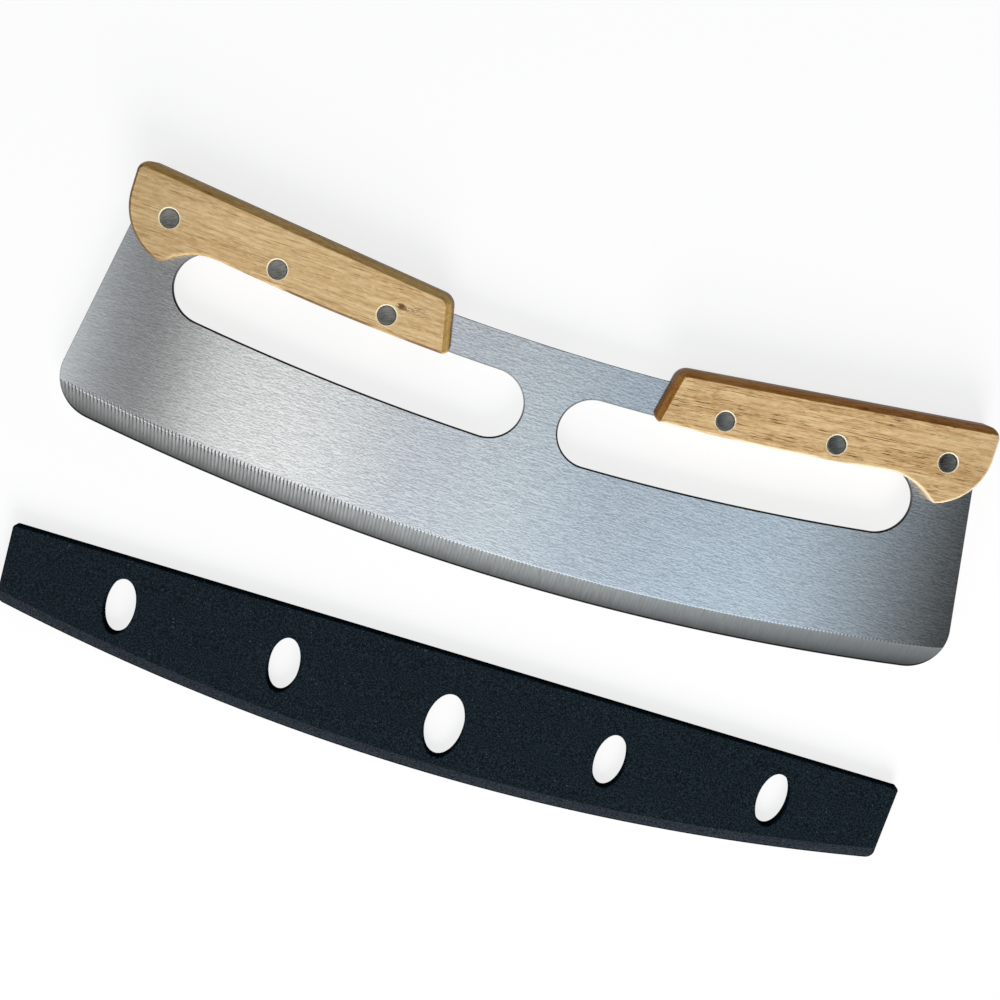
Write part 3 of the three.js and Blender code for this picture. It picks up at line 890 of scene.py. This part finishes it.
def oiled_wood(name, shift, lean, pale, tan, edge, pore_share, knot=None):
    """A board's finish from layers of noise, shifted and leaning so that no two boards are alike."""
    finish = Finish(name)
    place, knot_mark = grain_round_knot(finish, knot) if knot else (None, None)
    where = {"lean": lean, "centre": shift, "source": place}
    band = finish.noise((0.070, 0.0060, 0.0060), detail=3, distortion=0.6, **where)
    fibre = finish.noise((0.014, 0.0007, 0.0007), detail=3, distortion=0.4, **where)
    ray = finish.noise((0.004, 0.0018, 0.0018), detail=2, distortion=1.2, **where)
    pore = finish.noise((0.0064, 0.00028, 0.00028), detail=2, distortion=0.15, **where)
    tone = finish.products((fibre, 0.44), (ray, 0.26), (band, 0.30))
    figured = finish.blend(finish.between(tone, 0.38, 0.62), pale, tan)
    gathered = finish.between(band, 0.40, 0.60, 0.45 * pore_share, pore_share)
    pores = finish.math("MULTIPLY", finish.between(pore, 0.58, 0.64), gathered)
    pored = finish.blend(pores, figured, PORE)
    if knot:
        pored = finish.blend(knot_mark, pored, KNOT_HEART)
    # The palm's rounding is multiplied by the edge colour, partly as oil, partly as painted shade.
    oil_and_shade = finish.blend(finish.attribute("eased"), pored, edge, "MULTIPLY")
    from_middle = finish.math("ABSOLUTE", finish.parts()["X"])
    outer = finish.between(from_middle, *DARKER_END, 0.0, DARKER_END_SHARE)
    # The larger of the mesh's painted shade and the darker outer end, multiplied in brown.
    shade_and_dark_end = finish.math("MAXIMUM", finish.attribute("painted_shade"), outer)
    shaded_and_darkened = finish.blend(shade_and_dark_end, oil_and_shade, SHADE_AND_DARK_END_BROWN, "MULTIPLY")
    relief = finish.math("SUBTRACT", finish.math("MULTIPLY", fibre, 0.3), pores)
    # The cream is raw wood on the bores' rims and a painted highlight on the low edges.
    return finish.surface(
        Base_Color=finish.blend(finish.attribute("bare_and_highlight"), shaded_and_darkened, BARE_WOOD_AND_HIGHLIGHT),
        Roughness=finish.between(fibre, 0.3, 0.7, 0.46, 0.60),
        Specular_IOR_Level=0.15,
        Normal=finish.bump(relief, 4e-5),
    )


# %% The boards
KNOT = tuple(to_frame((-0.0615, 0.0895, 0.00875)))
# A board's third colour darkens the palm's rounding as oil and painted shade, little on pale boards.
PALE_BOARD = (colour(219, 191, 146), colour(189, 156, 109), colour(253, 243, 204))
WARM_BOARD = (colour(219, 190, 143), colour(184, 148, 101), colour(222, 182, 122))
WOODS = {
    "left_front": ((0.3, 0.1, 0.4), -0.03, *PALE_BOARD, 0.55, KNOT),
    "left_back": ((0.8, 0.5, 0.2), -0.05, *WARM_BOARD, 0.8),
    "right_front": ((0.5, 0.7, 0.9), 0.10, *WARM_BOARD, 1.0),
    "right_back": ((0.2, 0.3, 0.6), 0.06, *PALE_BOARD, 0.8),
}
woods = {board: oiled_wood(f"oiled_wood_{board}", *looks) for board, looks in WOODS.items()}
print("wood finishes:", list(woods))

# %% [markdown]
# A scale is a flat board whose edges are worked by hand. Its lower and outer edges have a small
# quarter round. The top and the inner end are rounded much further, for the palm, and the flat face
# cuts that rounding short, so it meets the face in a crisp line. Both edges are the same profile
# with other numbers, so a weight along the outline blends one into the other round the corners.

# %% The edge of a scale
FACE_LEVEL = 0.00875
SEAT_LEVEL = 0.00078
LOW_ROUND = 0.0012
PALM_ROUND = 0.0052
PALM_ARRIS = 0.00075
PALM_START = np.arccos(1 - PALM_ARRIS / PALM_ROUND)
ARRIS_EASE = 0.00010
SUPPORT = 0.00012
EDGE_STEPS = 12


def palm_weights(stretches):
    """One along the top and the inner end, zero below and round the lobe, even slopes between."""
    ramps = {"low corner": (1, 0), "outer corner": (0, 1), "inner corner": (1, 1)}
    return np.concatenate(
        [np.linspace(*ramps.get(name, (0, 0)), len(points)) for name, points in stretches.items()])


def scale_profile(weight):
    """Insets and levels from the face, over the rounded edge, down to the seat on the blade.

    A weight of 0 gives a quarter round. A weight of 1 gives the palm's larger arc, which starts
    where the face cuts it, and weights between them give the mean of both.
    """
    share = np.linspace(0, 1, EDGE_STEPS + 1)[:, None]
    low_turn = QUARTER * share
    palm_turn = PALM_START + (QUARTER - PALM_START) * share
    low_inset = LOW_ROUND * (1 - np.sin(low_turn))
    low_level = FACE_LEVEL - LOW_ROUND * (1 - np.cos(low_turn))
    palm_inset = PALM_ROUND * (1 - np.sin(palm_turn))
    palm_level = FACE_LEVEL + PALM_ARRIS - PALM_ROUND * (1 - np.cos(palm_turn))
    inset = low_inset + (palm_inset - low_inset) * weight
    level = low_level + (palm_level - low_level) * weight
    level[0] -= ARRIS_EASE / 4 * weight
    first = inset[:1] + ARRIS_EASE * weight
    face = np.full_like(first, FACE_LEVEL)
    side = np.zeros_like(first)
    seat = np.full_like(first, SEAT_LEVEL)
    insets = np.concatenate([first + SUPPORT, first, inset, side, side + ARRIS_EASE])
    levels = np.concatenate([face, face, level, seat + ARRIS_EASE, seat])
    return insets, levels


def mitred_corner(points, insets):
    """Rings of the low corner, whose two sides are moved in by different amounts.

    A ring's corner lies where the moved sides cross. Its rounding keeps what is left of the
    corner's radius, so deep rings end in a sharp mitre.
    """
    centre = points[0] + HANDLE_LOW_CORNER * np.array([-along_end[1], along_end[0]])
    spokes = (points - centre) / HANDLE_LOW_CORNER
    normals = -spokes[[0, -1]]
    inset_pairs = insets[:, [0, -1]]
    radius = np.clip(HANDLE_LOW_CORNER - inset_pairs.max(1, keepdims=True), 0, None)
    pushed = np.linalg.solve(normals, (inset_pairs + radius - HANDLE_LOW_CORNER).T).T
    return centre + pushed[:, None] + radius[:, None] * spokes[None]


print("rings of the edge:", len(scale_profile(np.zeros(1))[0]))

# %% A scale as drawn
BORE_RADIUS = 0.00362
BORE_RIM = 0.00398
BORE_EASE = 0.00035
BORE_FLOOR = 0.00655


def bore_rings(centre):
    """A rivet's stepped bore: an eased rim, a seat for the head, and a hole for the shank."""
    around = circle(centre, BORE_RADIUS)[::-1]
    steps = [
        (BORE_RIM + SUPPORT, FACE_LEVEL),
        (BORE_RIM, FACE_LEVEL),
        (BORE_RADIUS + 0.4 * (BORE_RIM - BORE_RADIUS), FACE_LEVEL - 0.3 * BORE_EASE),
        (BORE_RADIUS, FACE_LEVEL - BORE_EASE),
        (BORE_RADIUS, BORE_FLOOR),
        (SHANK_HOLE, BORE_FLOOR),
        (SHANK_HOLE, SEAT_LEVEL),
    ]
    radii, levels = np.array(steps).T
    return rings(around, radii - BORE_RADIUS, levels)


def scale_blocks():
    """The right front scale: its face, its seat, the worked edge and three bores."""
    stretches = handle_stretches()
    outline = np.concatenate(list(stretches.values()))
    insets, levels = scale_profile(palm_weights(stretches))
    edge = rings(outline, insets, levels)
    low_corner = stretches["low corner"]
    edge[:, :len(low_corner), :2] = mitred_corner(low_corner, insets[:, :len(low_corner)])
    bores = [bore_rings(place) for place in rivet_places("right").values()]
    return [
        flat_fill([edge[0]] + [bore[0] for bore in bores]),
        flat_fill([edge[-1]] + [bore[-1] for bore in bores], flipped=True),
        *(strip(ring) for ring in (edge, *bores)),
    ]


drawn_scale = scale_blocks()
print("faces of a scale:", sum(len(faces) for _, faces, _ in drawn_scale))

# %% The four scales
FACES = {"front": 1, "back": -1}
SHARP_WOOD_TURN = 24
# Painted light by side: a highlight on the right scales' low edges, shade on the left ones'.
LOW_EDGE_HIGHLIGHT_SHARES = {"left": 0.0, "right": 0.6}
PAINTED_SHADE_SHARES = {"left": 0.8, "right": 0.0}
# Painted shade over the palm's rounding by depth below the face: a line at the arris, most low down.
PALM_SHADE_DEPTHS = np.r_[0, 0.00003, 0.0005, 0.0011, 0.0022, 0.0032]
PALM_SHADE = np.r_[0, 0.4, 0.3, 0.05, 0.1, 0.55]


def mark_edges(scale, low_edge_highlight_share, painted_shade_share):
    """Attributes of the worked edges: the palm's rounding, painted shade and highlight, and raw wood.

    The bores' rims are raw wood; the low edges have a share of painted highlight on their rounding.
    Painted shade lies on the palm's arris, low on its sides, and by a share on low edges but the notch.
    """
    drawn = np.abs(drawn_points(scale))
    from_corner = drawn[:, :2] - HANDLE_TOP_INNER
    below_top = from_corner @ [along_top[1], -along_top[0]]
    inside_end = from_corner @ [-along_end[1], along_end[0]]
    arris = PALM_ROUND * (1 - np.sin(PALM_START))
    below_face = FACE_LEVEL - drawn[:, 2]
    eased = (np.minimum(below_top, inside_end) < arris + ARRIS_EASE / 2) & (below_face > 0)
    bores = np.array(list(rivet_places("right").values()))
    to_bore = np.linalg.norm(drawn[:, None, :2] - bores[None], axis=-1).min(1)
    on_rim = (to_bore < BORE_RIM + SUPPORT / 2) & (drawn[:, 2] > BORE_FLOOR)
    # A painted highlight over the low rounding.
    low_edge_highlight = low_edge_highlight_share * np.interp(below_face / LOW_ROUND, [0, 0.2, 1, 1.4], [0, 1, 1, 0])
    on_edge = ~eased & (to_bore > 2 * BORE_RIM)
    # Painted shade on the low edges, but not at the notch.
    off_notch = np.interp(drawn[:, 0], [0.114, 0.122, 0.146, 0.154], [1, 0, 0, 1])
    rounded = np.interp(below_face / LOW_ROUND, [0, 0.03], [0, 1])
    low_edge_shade = painted_shade_share * off_notch * rounded * on_edge
    palm_shade = np.interp(below_face, PALM_SHADE_DEPTHS, PALM_SHADE)
    add_attribute(scale, "eased", eased)
    add_attribute(scale, "painted_shade", np.where(eased, palm_shade, low_edge_shade))
    add_attribute(scale, "bare_and_highlight", np.where(on_rim, 1, low_edge_highlight * on_edge))


def make_scale(blocks, side, face):
    """One scale: the right front one as drawn, the others mirrored from it."""
    signs = np.array([SIDES[side], 1, FACES[face]])
    wood = woods[f"{side}_{face}"]
    name = f"{side}_{face}_scale"
    scale = make_piece(f"wooden_{name}", reflected(blocks, signs), [wood], SHARP_WOOD_TURN)
    mark_edges(scale, LOW_EDGE_HIGHLIGHT_SHARES[side], PAINTED_SHADE_SHARES[side])
    settle(scale, "cutter", "oiled_wood", name)
    report(scale)


for side in SIDES:
    for face in FACES:
        make_scale(drawn_scale, side, face)

# %% [markdown]
# Each rivet is a headed post pressed into a headed sleeve. The heads were sanded flush with the
# wood before it was finished, so they are flat, dull and scratched one way, with a soft rim. They
# are turned shapes. A Screw modifier could turn them one by one. Here a profile of radius and
# level is carried round a circle, and a mirror image gives the half that comes from behind.

# %% Rivets
HEAD_RADIUS = 0.0035
HEAD_TOP = 0.00845
HEAD_DEPTH = 0.0016
HEAD_EASE = 0.00022
HEAD_DISH = 0.00018
POST_RADIUS = 0.0015
POST_REACH = 0.0044
SLEEVE_RADIUS = 0.0025
SLEEVE_BORE = 0.0018
SLEEVE_REACH = 0.005
SLEEVE_BORE_END = 0.0047
EASE_STEPS = 6
DISH_STEPS = 9
POINTS_AROUND = 64


def sanded_metal():
    """Dull metal with scratches that lean, darker in patches."""
    finish = Finish("rivet_metal")
    scratch = finish.noise((0.0030, 0.00034, 0.00034), detail=2, lean=0.5)
    patch = finish.noise((0.0024, 0.0024, 0.0024), detail=2)
    tone = finish.between(finish.products((scratch, 0.65), (patch, 0.35)), 0.36, 0.64)
    return finish.surface(
        Base_Color=finish.blend(tone, (0.17, 0.16, 0.143), (0.31, 0.292, 0.26)),
        Metallic=1.0,
        Roughness=finish.between(scratch, 0.3, 0.7, 0.26, 0.40),
        Normal=finish.bump(scratch, 1.2e-5),
    )


def head_profile():
    """A head from its underside: the side, a quarter round, and a face dished by a shallow bow."""
    turn = np.linspace(0, QUARTER, EASE_STEPS)
    ease = np.column_stack([
        HEAD_RADIUS - HEAD_EASE * (1 - np.cos(turn)),
        HEAD_TOP - HEAD_EASE * (1 - np.sin(turn)),
    ])
    radius = np.linspace(HEAD_RADIUS - HEAD_EASE, 0, DISH_STEPS)[1:]
    bow = HEAD_DISH * (1 - (radius / (HEAD_RADIUS - HEAD_EASE)) ** 2)
    face = np.column_stack([radius, HEAD_TOP - bow])
    return np.concatenate([[(HEAD_RADIUS, HEAD_TOP - HEAD_DEPTH)], ease, face])


def turned(profile, centre):
    """A profile of radius and level carried round an axis through a centre."""
    around = np.linspace(0, 2 * np.pi, POINTS_AROUND, endpoint=False)
    spokes = np.column_stack([np.cos(around), np.sin(around)])
    flat = profile[:, None, :1] * spokes[None] + centre
    level = np.broadcast_to(profile[:, None, 1:], (*flat.shape[:2], 1))
    return np.concatenate([flat, level], -1)


def make_rivet(side, position, half, finish):
    """A post, whose head is in front, or a sleeve, whose head is behind."""
    under_head = HEAD_TOP - HEAD_DEPTH
    shanks = {
        "post": [(0, -POST_REACH), (POST_RADIUS, -POST_REACH), (POST_RADIUS, under_head)],
        "sleeve": [(0, SLEEVE_BORE_END), (SLEEVE_BORE, SLEEVE_BORE_END), (SLEEVE_BORE, -SLEEVE_REACH),
                   (SLEEVE_RADIUS, -SLEEVE_REACH), (SLEEVE_RADIUS, under_head)],
    }
    profile = np.concatenate([shanks[half], head_profile()])
    blocks = [strip(turned(profile, rivet_places(side)[position]), flipped=True)]
    if half == "sleeve":
        blocks = reflected(blocks, FRONT_TO_BACK)
    name = f"{side}_{position}_rivet_{half}"
    rivet = make_piece(f"sanded_{name}", blocks, [finish], SHARP_TURN)
    settle(rivet, "cutter", "rivet_metal", name)
    return rivet


rivet_metal = sanded_metal()
rivets = [
    make_rivet(side, position, half, rivet_metal)
    for side in SIDES for position in RIVET_ANGLES for half in ("post", "sleeve")
]
for rivet in rivets[:2]:
    report(rivet)

# %% [markdown]
# The guard is a thin moulded channel, open along its straight top, with a sloping band along its
# curved lower edge and five oval windows. The outside is made from rings as the blade is. The
# slot for the blade is then cut out of it with a Boolean, because it meets the windows.

# %% Guard finish
def black_plastic(name, gloss, sheen_and_scuff_colour):
    """Matt plastic with the fine grain of a sparked mould, pale flecks of painted sheen and scuffs."""
    finish = Finish(name)
    spark = finish.noise((0.0004, 0.0004, 0.0004), detail=3)
    fleck = finish.noise((0.00062, 0.00062, 0.00062), detail=3)
    glint = finish.noise((0.0007, 0.0007, 0.0007), detail=1, centre=(0.4, 0.2, 0.7))
    base = finish.blend(finish.between(fleck, 0.40, 0.62), colour(3, 10, 15), colour(24, 36, 44))
    patchy = finish.between(fleck, 0.36, 0.62, 0.2, 1.0)
    sheen_and_scuff_share = finish.math("MULTIPLY", finish.attribute("sheen_and_scuffs"), patchy)
    sheen_and_scuffs = finish.blend(sheen_and_scuff_share, base, sheen_and_scuff_colour)
    # Pale specks painted on as glints.
    glints = finish.between(glint, 0.70, 0.78, 0, 0.6)
    return finish.surface(
        Base_Color=finish.blend(glints, sheen_and_scuffs, colour(88, 95, 100)),
        Roughness=finish.between(spark, 0.3, 0.7, 0.55, 0.8),
        Specular_IOR_Level=gloss,
        Normal=finish.bump(spark, 6e-5),
    )


# The last colour paints the sloping band's sheen and scuffs; near black on the rim, so none shows.
GUARD_FINISHES = [
    black_plastic("black_plastic", 0.15, colour(41, 46, 53)),
    black_plastic("black_plastic_rim", 0.0, colour(10, 14, 18)),
]
SPARKED, RIM = range(2)
print("guard finishes:", [finish.name for finish in GUARD_FINISHES])

# %% The guard's outlines
GUARD_LENGTH = 0.361
GUARD_HEIGHT = 0.05
GUARD_HALF = 0.0025
GUARD_SLOT_HALF = 0.0011
GUARD_END_WALL = 0.0017
GUARD_FLOOR = 0.0024
GUARD_RADIUS = 0.881
GUARD_CHAMFER = 0.0047
GUARD_RIM_HALF = 0.0013
GUARD_TOP_CORNER = 0.0012
GUARD_LOW_CORNER = 0.0035
GUARD_PLACE = np.array([0, -0.0343, 0])
GUARD_ROUND = 0.0006
WINDOW_PITCH = 0.067
WINDOW_SMALL = (0.0061, 0.01125)
WINDOW_LARGE = (0.0076, 0.01335)
WINDOW_DEPTHS = (0.0286, 0.0233, 0.0195)
WINDOW_ROUND = 0.0005
WINDOW_POINTS = 96

guard_centre = np.array([0, GUARD_RADIUS - GUARD_HEIGHT])


def guard_outline(inset, mouth):
    """The guard from the front: a curved lower edge, upright ends and a straight mouth."""
    radius, half = GUARD_RADIUS - inset, GUARD_LENGTH / 2 - inset
    slope = np.arcsin(half / radius)
    low_end = guard_centre + radius * np.array([np.sin(slope), -np.cos(slope)])
    along_edge = low_end - [np.cos(slope), np.sin(slope)]
    top_end = np.array([half, mouth])
    low_corner = corner(along_edge, low_end, top_end, GUARD_LOW_CORNER - inset / 2)
    reach = np.arcsin(low_corner[0, 0] / radius)
    lower = arc(guard_centre, radius, -QUARTER, reach - QUARTER)
    right_half = np.concatenate(
        [lower[:-1], low_corner, corner(low_end, top_end, (0, mouth), GUARD_TOP_CORNER)])
    return np.concatenate([right_half, mirrored(right_half)[:-1]])


def guard_half_thickness(points):
    """Half the thickness: it slopes up from the lower edge to the flat face."""
    depth = GUARD_RADIUS - np.hypot(points[..., 0], points[..., 1] - guard_centre[1])
    return np.interp(depth, [0, GUARD_CHAMFER], [GUARD_RIM_HALF, GUARD_HALF])


def window_outline(centre, radii):
    """An oval: the centre plus cosine and sine, each times its own radius. It runs clockwise."""
    angle = np.linspace(0, -2 * np.pi, WINDOW_POINTS, endpoint=False)
    return np.array(centre) + np.column_stack([np.cos(angle), np.sin(angle)]) * radii


def window_outlines():
    """The large window in the middle and two pairs of small ones, higher towards the ends."""
    middle = [window_outline((0, -WINDOW_DEPTHS[0]), WINDOW_LARGE)]
    return middle + [
        window_outline((sign * place * WINDOW_PITCH, -WINDOW_DEPTHS[place]), WINDOW_SMALL)
        for place in (1, 2) for sign in (-1, 1)
    ]


print("points round the guard:", len(guard_outline(0, 0)))

# %% The guard's outside and its slot
SLOPE_ROWS = np.r_[0, 0.1, 0.3, 0.5, 0.7, 0.9, 0.985, 1]


def guard_blocks():
    """Flat faces with windows, sloping bands below them, and a rounded rim all round."""
    outline = guard_outline(0, 0)
    half = guard_half_thickness(outline)
    outer = rim(outline, half, GUARD_ROUND)
    front_edge = outer[0]
    on_slope = half < GUARD_HALF - SAME_POINT
    first = np.flatnonzero(on_slope & ~np.roll(on_slope, 1))[0]
    front_edge, on_slope = np.roll(front_edge, -first, 0), np.roll(on_slope, -first)
    slope_edge, straight_edge = front_edge[on_slope], front_edge[~on_slope]
    around = np.arctan2(slope_edge[:, 0], guard_centre[1] - slope_edge[:, 1])
    share = SLOPE_ROWS[:, None, None]
    reach = GUARD_RADIUS - GUARD_CHAMFER
    top = guard_centre + reach * np.column_stack([np.sin(around), -np.cos(around)])
    flat = slope_edge[None, :, :2] * (1 - share) + top[None] * share
    level = guard_half_thickness(flat)
    slope = np.concatenate([flat, level[..., None]], -1)
    slope[0] = slope_edge
    slope[:, [0, -1]] = slope_edge[[0, -1]]
    rims = [rim(hole, np.full(len(hole), GUARD_HALF), WINDOW_ROUND) for hole in window_outlines()]
    face = [np.concatenate([slope[-1], straight_edge])] + [ring[0] for ring in rims]
    fronts = [flat_fill(face, SPARKED), strip(slope, SPARKED, closed=False, flipped=True)]
    return both_sides(fronts) + [strip(ring, RIM) for ring in (outer, *rims)]


def cavity_blocks():
    """The slot for the blade, a plain plate that reaches past the mouth."""
    outline = guard_outline(GUARD_END_WALL, GUARD_HEIGHT / 4)
    depth = GUARD_RADIUS - GUARD_FLOOR
    away = outline - guard_centre
    outline = guard_centre + away * np.minimum(1, depth / np.linalg.norm(away, axis=1))[:, None]
    walls = rings(outline, [0, 0], [GUARD_SLOT_HALF, -GUARD_SLOT_HALF])
    return [flat_fill([walls[0]]), flat_fill([walls[1]], flipped=True), strip(walls)]


outside, inside = (moved(blocks, GUARD_PLACE) for blocks in (guard_blocks(), cavity_blocks()))
print("faces of the guard's outside:", sum(len(faces) for _, faces, _ in outside))


# %% The guard
def hollowed(piece, cutter):
    """Cuts one piece out of another, keeps the result as plain mesh and removes the cutter."""
    cut = piece.modifiers.new("slot", "BOOLEAN")
    cut.operation, cut.solver, cut.object = "DIFFERENCE", "EXACT", cutter
    bpy.context.view_layer.update()
    finished = piece.evaluated_get(bpy.context.evaluated_depsgraph_get())
    result = bpy.data.meshes.new_from_object(finished)
    piece.modifiers.remove(cut)
    piece.data = result
    bpy.data.objects.remove(cutter)


def mark_sheen_and_scuffs(piece):
    """An attribute of the sloping bands: a painted sheen, and scuffs from rubbing on what they lie on."""
    drawn = drawn_points(piece) - GUARD_PLACE
    depth = GUARD_RADIUS - np.hypot(drawn[:, 0], drawn[:, 1] - guard_centre[1])
    sheen_and_scuffs = np.interp(depth / GUARD_CHAMFER, [0.13, 0.215, 0.98, 0.998], [0.2, 1, 0.85, 0])
    add_attribute(piece, "sheen_and_scuffs", sheen_and_scuffs)


guard = make_piece("moulded_blade_guard", outside, GUARD_FINISHES, SHARP_TURN)
hollowed(guard, make_piece("guard_slot", inside, GUARD_FINISHES, SHARP_TURN))
weld(guard.data)
smooth(guard.data, SHARP_TURN)
mark_sheen_and_scuffs(guard)
report(guard)
settle(guard, "guard", "black_plastic", "blade_guard")

# %% [markdown]
# The floor is plain white. It shows as white to the camera and in reflections, and keeps soft
# shadows near the object, but it throws only a little light back, as a pale grey table would.
# Further out it fades into the white of the walls.

# %% Floor
FLOOR_REACH = 6.0
SHADOWED = (0.3, 1.2)


def floor_finish():
    """A mix of white paint and glow for rays that show it, and grey paint for the others."""
    finish = Finish("pale_floor")
    seen = finish.add("ShaderNodeLightPath").outputs
    rays = ("Is Camera Ray", "Is Glossy Ray", "Is Transmission Ray")
    shown = finish.math("MAXIMUM", *(seen[ray] for ray in rays))
    white = finish.add("ShaderNodeBsdfDiffuse", Color=(0.92, 0.92, 0.92)).outputs[0]
    glow = finish.add("ShaderNodeEmission", Color=(1, 1, 1), Strength=1.0).outputs[0]
    grey = finish.add("ShaderNodeBsdfDiffuse", Color=(0.35, 0.35, 0.35)).outputs[0]
    away = finish.add("ShaderNodeVectorMath", {"operation": "LENGTH"}, _0=finish.place)
    glowing = finish.between(away.outputs["Value"], *SHADOWED, 0.8, 1.0)
    lit = finish.add("ShaderNodeMixShader", Fac=glowing, _1=white, _2=glow).outputs[0]
    both = finish.add("ShaderNodeMixShader", Fac=shown, _1=grey, _2=lit).outputs[0]
    finish.feed(finish.tree.nodes["Material Output"], Surface=both)
    return finish.material


corners = np.array([[-1, -1, 0], [1, -1, 0], [1, 1, 0], [-1, 1, 0]]) * FLOOR_REACH
floor_mesh = bpy.data.meshes.new("floor")
floor_mesh.from_pydata(corners.tolist(), [], [(0, 1, 2, 3)])
floor_mesh.materials.append(floor_finish())
floor = put_in_scene("floor", floor_mesh)
print("floor:", 2 * FLOOR_REACH, "m wide")

# %% [markdown]
# The studio is a dome of light. Overhead and a little to the front it is bright, white to the left
# and cool to the right, and dark at the right end: that is what the brushed blade mirrors.
# Low down all round it is white, like the walls of a white room. A large soft lamp in front and to
# the right lights the wood. It doesn't show in reflections, so the steel mirrors only the dome.

# %% The dome
ACROSS = (
    (-0.404, (0.70, 0.74, 0.77)),
    (-0.281, (0.90, 0.94, 0.97)),
    (-0.256, (0.25, 0.255, 0.26)),
    (-0.22, (0.15, 0.152, 0.15)),
    (-0.179, (0.95, 0.965, 0.945)),
    (-0.103, (0.98, 0.995, 0.975)),
    (-0.039, (0.68, 0.72, 0.78)),
    (0.0365, (0.74, 0.82, 0.87)),
    (0.111, (0.545, 0.64, 0.74)),
    (0.243, (0.61, 0.735, 0.845)),
    (0.316, (0.24, 0.26, 0.275)),
    (0.346, (0.03, 0.03, 0.024)),
    (0.44, (0.02, 0.02, 0.016)),
)
FORWARD = (
    (-1.0, 0.4), (-0.8, 0.5), (-0.55, 1.4), (-0.40, 1.72), (-0.258, 1.38),
    (-0.142, 1.0), (-0.034, 0.6), (0.3, 0.35), (1.0, 0.3),
)
WALL_TOP = (0.22, 0.36)


def ramp(nodes, value, stops):
    """A colour ramp over a range of a value, with stops of a place and a colour."""
    first, last = stops[0][0], stops[-1][0]
    spread = nodes.add("ShaderNodeMapRange", _0=value, _1=first, _2=last)
    node = nodes.add("ShaderNodeValToRGB", _0=spread.outputs[0])
    elements = node.color_ramp.elements
    while len(elements) < len(stops):
        elements.new(1.0)
    for element, (place, shade) in zip(elements, stops):
        element.position = (place - first) / (last - first)
        element.color = (*np.broadcast_to(shade, 3), 1)
    return node.outputs[0]


def studio_dome():
    """A dome coloured across and shaded forward, which goes over into white walls low down."""
    world = bpy.data.worlds.new("studio")
    bpy.context.scene.world = world
    world.use_nodes = True
    nodes = Nodes(world.node_tree)
    direction = nodes.add("ShaderNodeTexCoord").outputs["Generated"]
    x, y, z = nodes.add("ShaderNodeSeparateXYZ", Vector=direction).outputs
    dome = nodes.add(
        "ShaderNodeBackground", Color=ramp(nodes, x, ACROSS), Strength=ramp(nodes, y, FORWARD))
    walls = nodes.tree.nodes["Background"]
    nodes.feed(walls, Color=(1, 1, 1))
    above_walls = ramp(nodes, z, ((WALL_TOP[0], 0.0), (WALL_TOP[1], 1.0)))
    both = nodes.add(
        "ShaderNodeMixShader", Fac=above_walls, _1=walls.outputs[0], _2=dome.outputs[0])
    nodes.feed(nodes.tree.nodes["World Output"], Surface=both.outputs[0])


studio_dome()
print("stops across the dome:", len(ACROSS), "and forward:", len(FORWARD))


# %% The lamp
def stand(thing, right, up, place):
    """Puts a lamp or a camera in its place. It looks against the cross product of right and up."""
    turn = np.eye(4)
    turn[:3, :3] = np.column_stack([right, up, np.cross(right, up)])
    turn[:3, 3] = place
    thing.matrix_world = Matrix(turn.tolist())


def soft_lamp(name, place, target, size, watts, tint):
    """A square area lamp that looks at a target and doesn't show in reflections."""
    lamp = bpy.data.lights.new(name, "AREA")
    lamp.size, lamp.energy, lamp.color = size, watts, tint
    holder = put_in_scene(name, lamp)
    holder.visible_glossy = False
    back = unit(np.array(place) - target)
    side = unit(np.cross((0, 0, 1), back))
    stand(holder, side, np.cross(back, side), place)
    print(f"{name}: {watts} W, {np.linalg.norm(np.array(place) - target):.2f} m away")


soft_lamp("front_lamp", (0.55, -1.25, 0.95), (0, 0, 0), 1.1, 36, (1, 0.98, 0.95))

# %% [markdown]
# The camera stands where the photograph was taken from, nearly overhead and a little towards the
# handles. Its place and turn are written as the eye's position and two directions.

# %% Camera
EYE = (-0.02412, 0.092964, 0.53609)
RIGHT = (0.954522, 0.297857, 0.013079)
UP = (-0.292194, 0.943295, -0.157531)
FOCAL_LENGTH_PX = 1396
PICTURE_PX = 1000
AXIS_PX = (531.5, 513)

camera_data = bpy.data.cameras.new("camera")
camera_data.lens = FOCAL_LENGTH_PX / PICTURE_PX * camera_data.sensor_width
camera_data.shift_x = 0.5 - AXIS_PX[0] / PICTURE_PX
camera_data.shift_y = AXIS_PX[1] / PICTURE_PX - 0.5
camera_data.clip_start = 0.01
camera = put_in_scene("camera", camera_data)
stand(camera, RIGHT, UP, EYE)
bpy.context.scene.camera = camera
bpy.context.scene.view_settings.view_transform = "Standard"
print(f"camera: {camera_data.lens:.1f} mm, shift {camera_data.shift_x:.4f}, {camera_data.shift_y:.4f}")
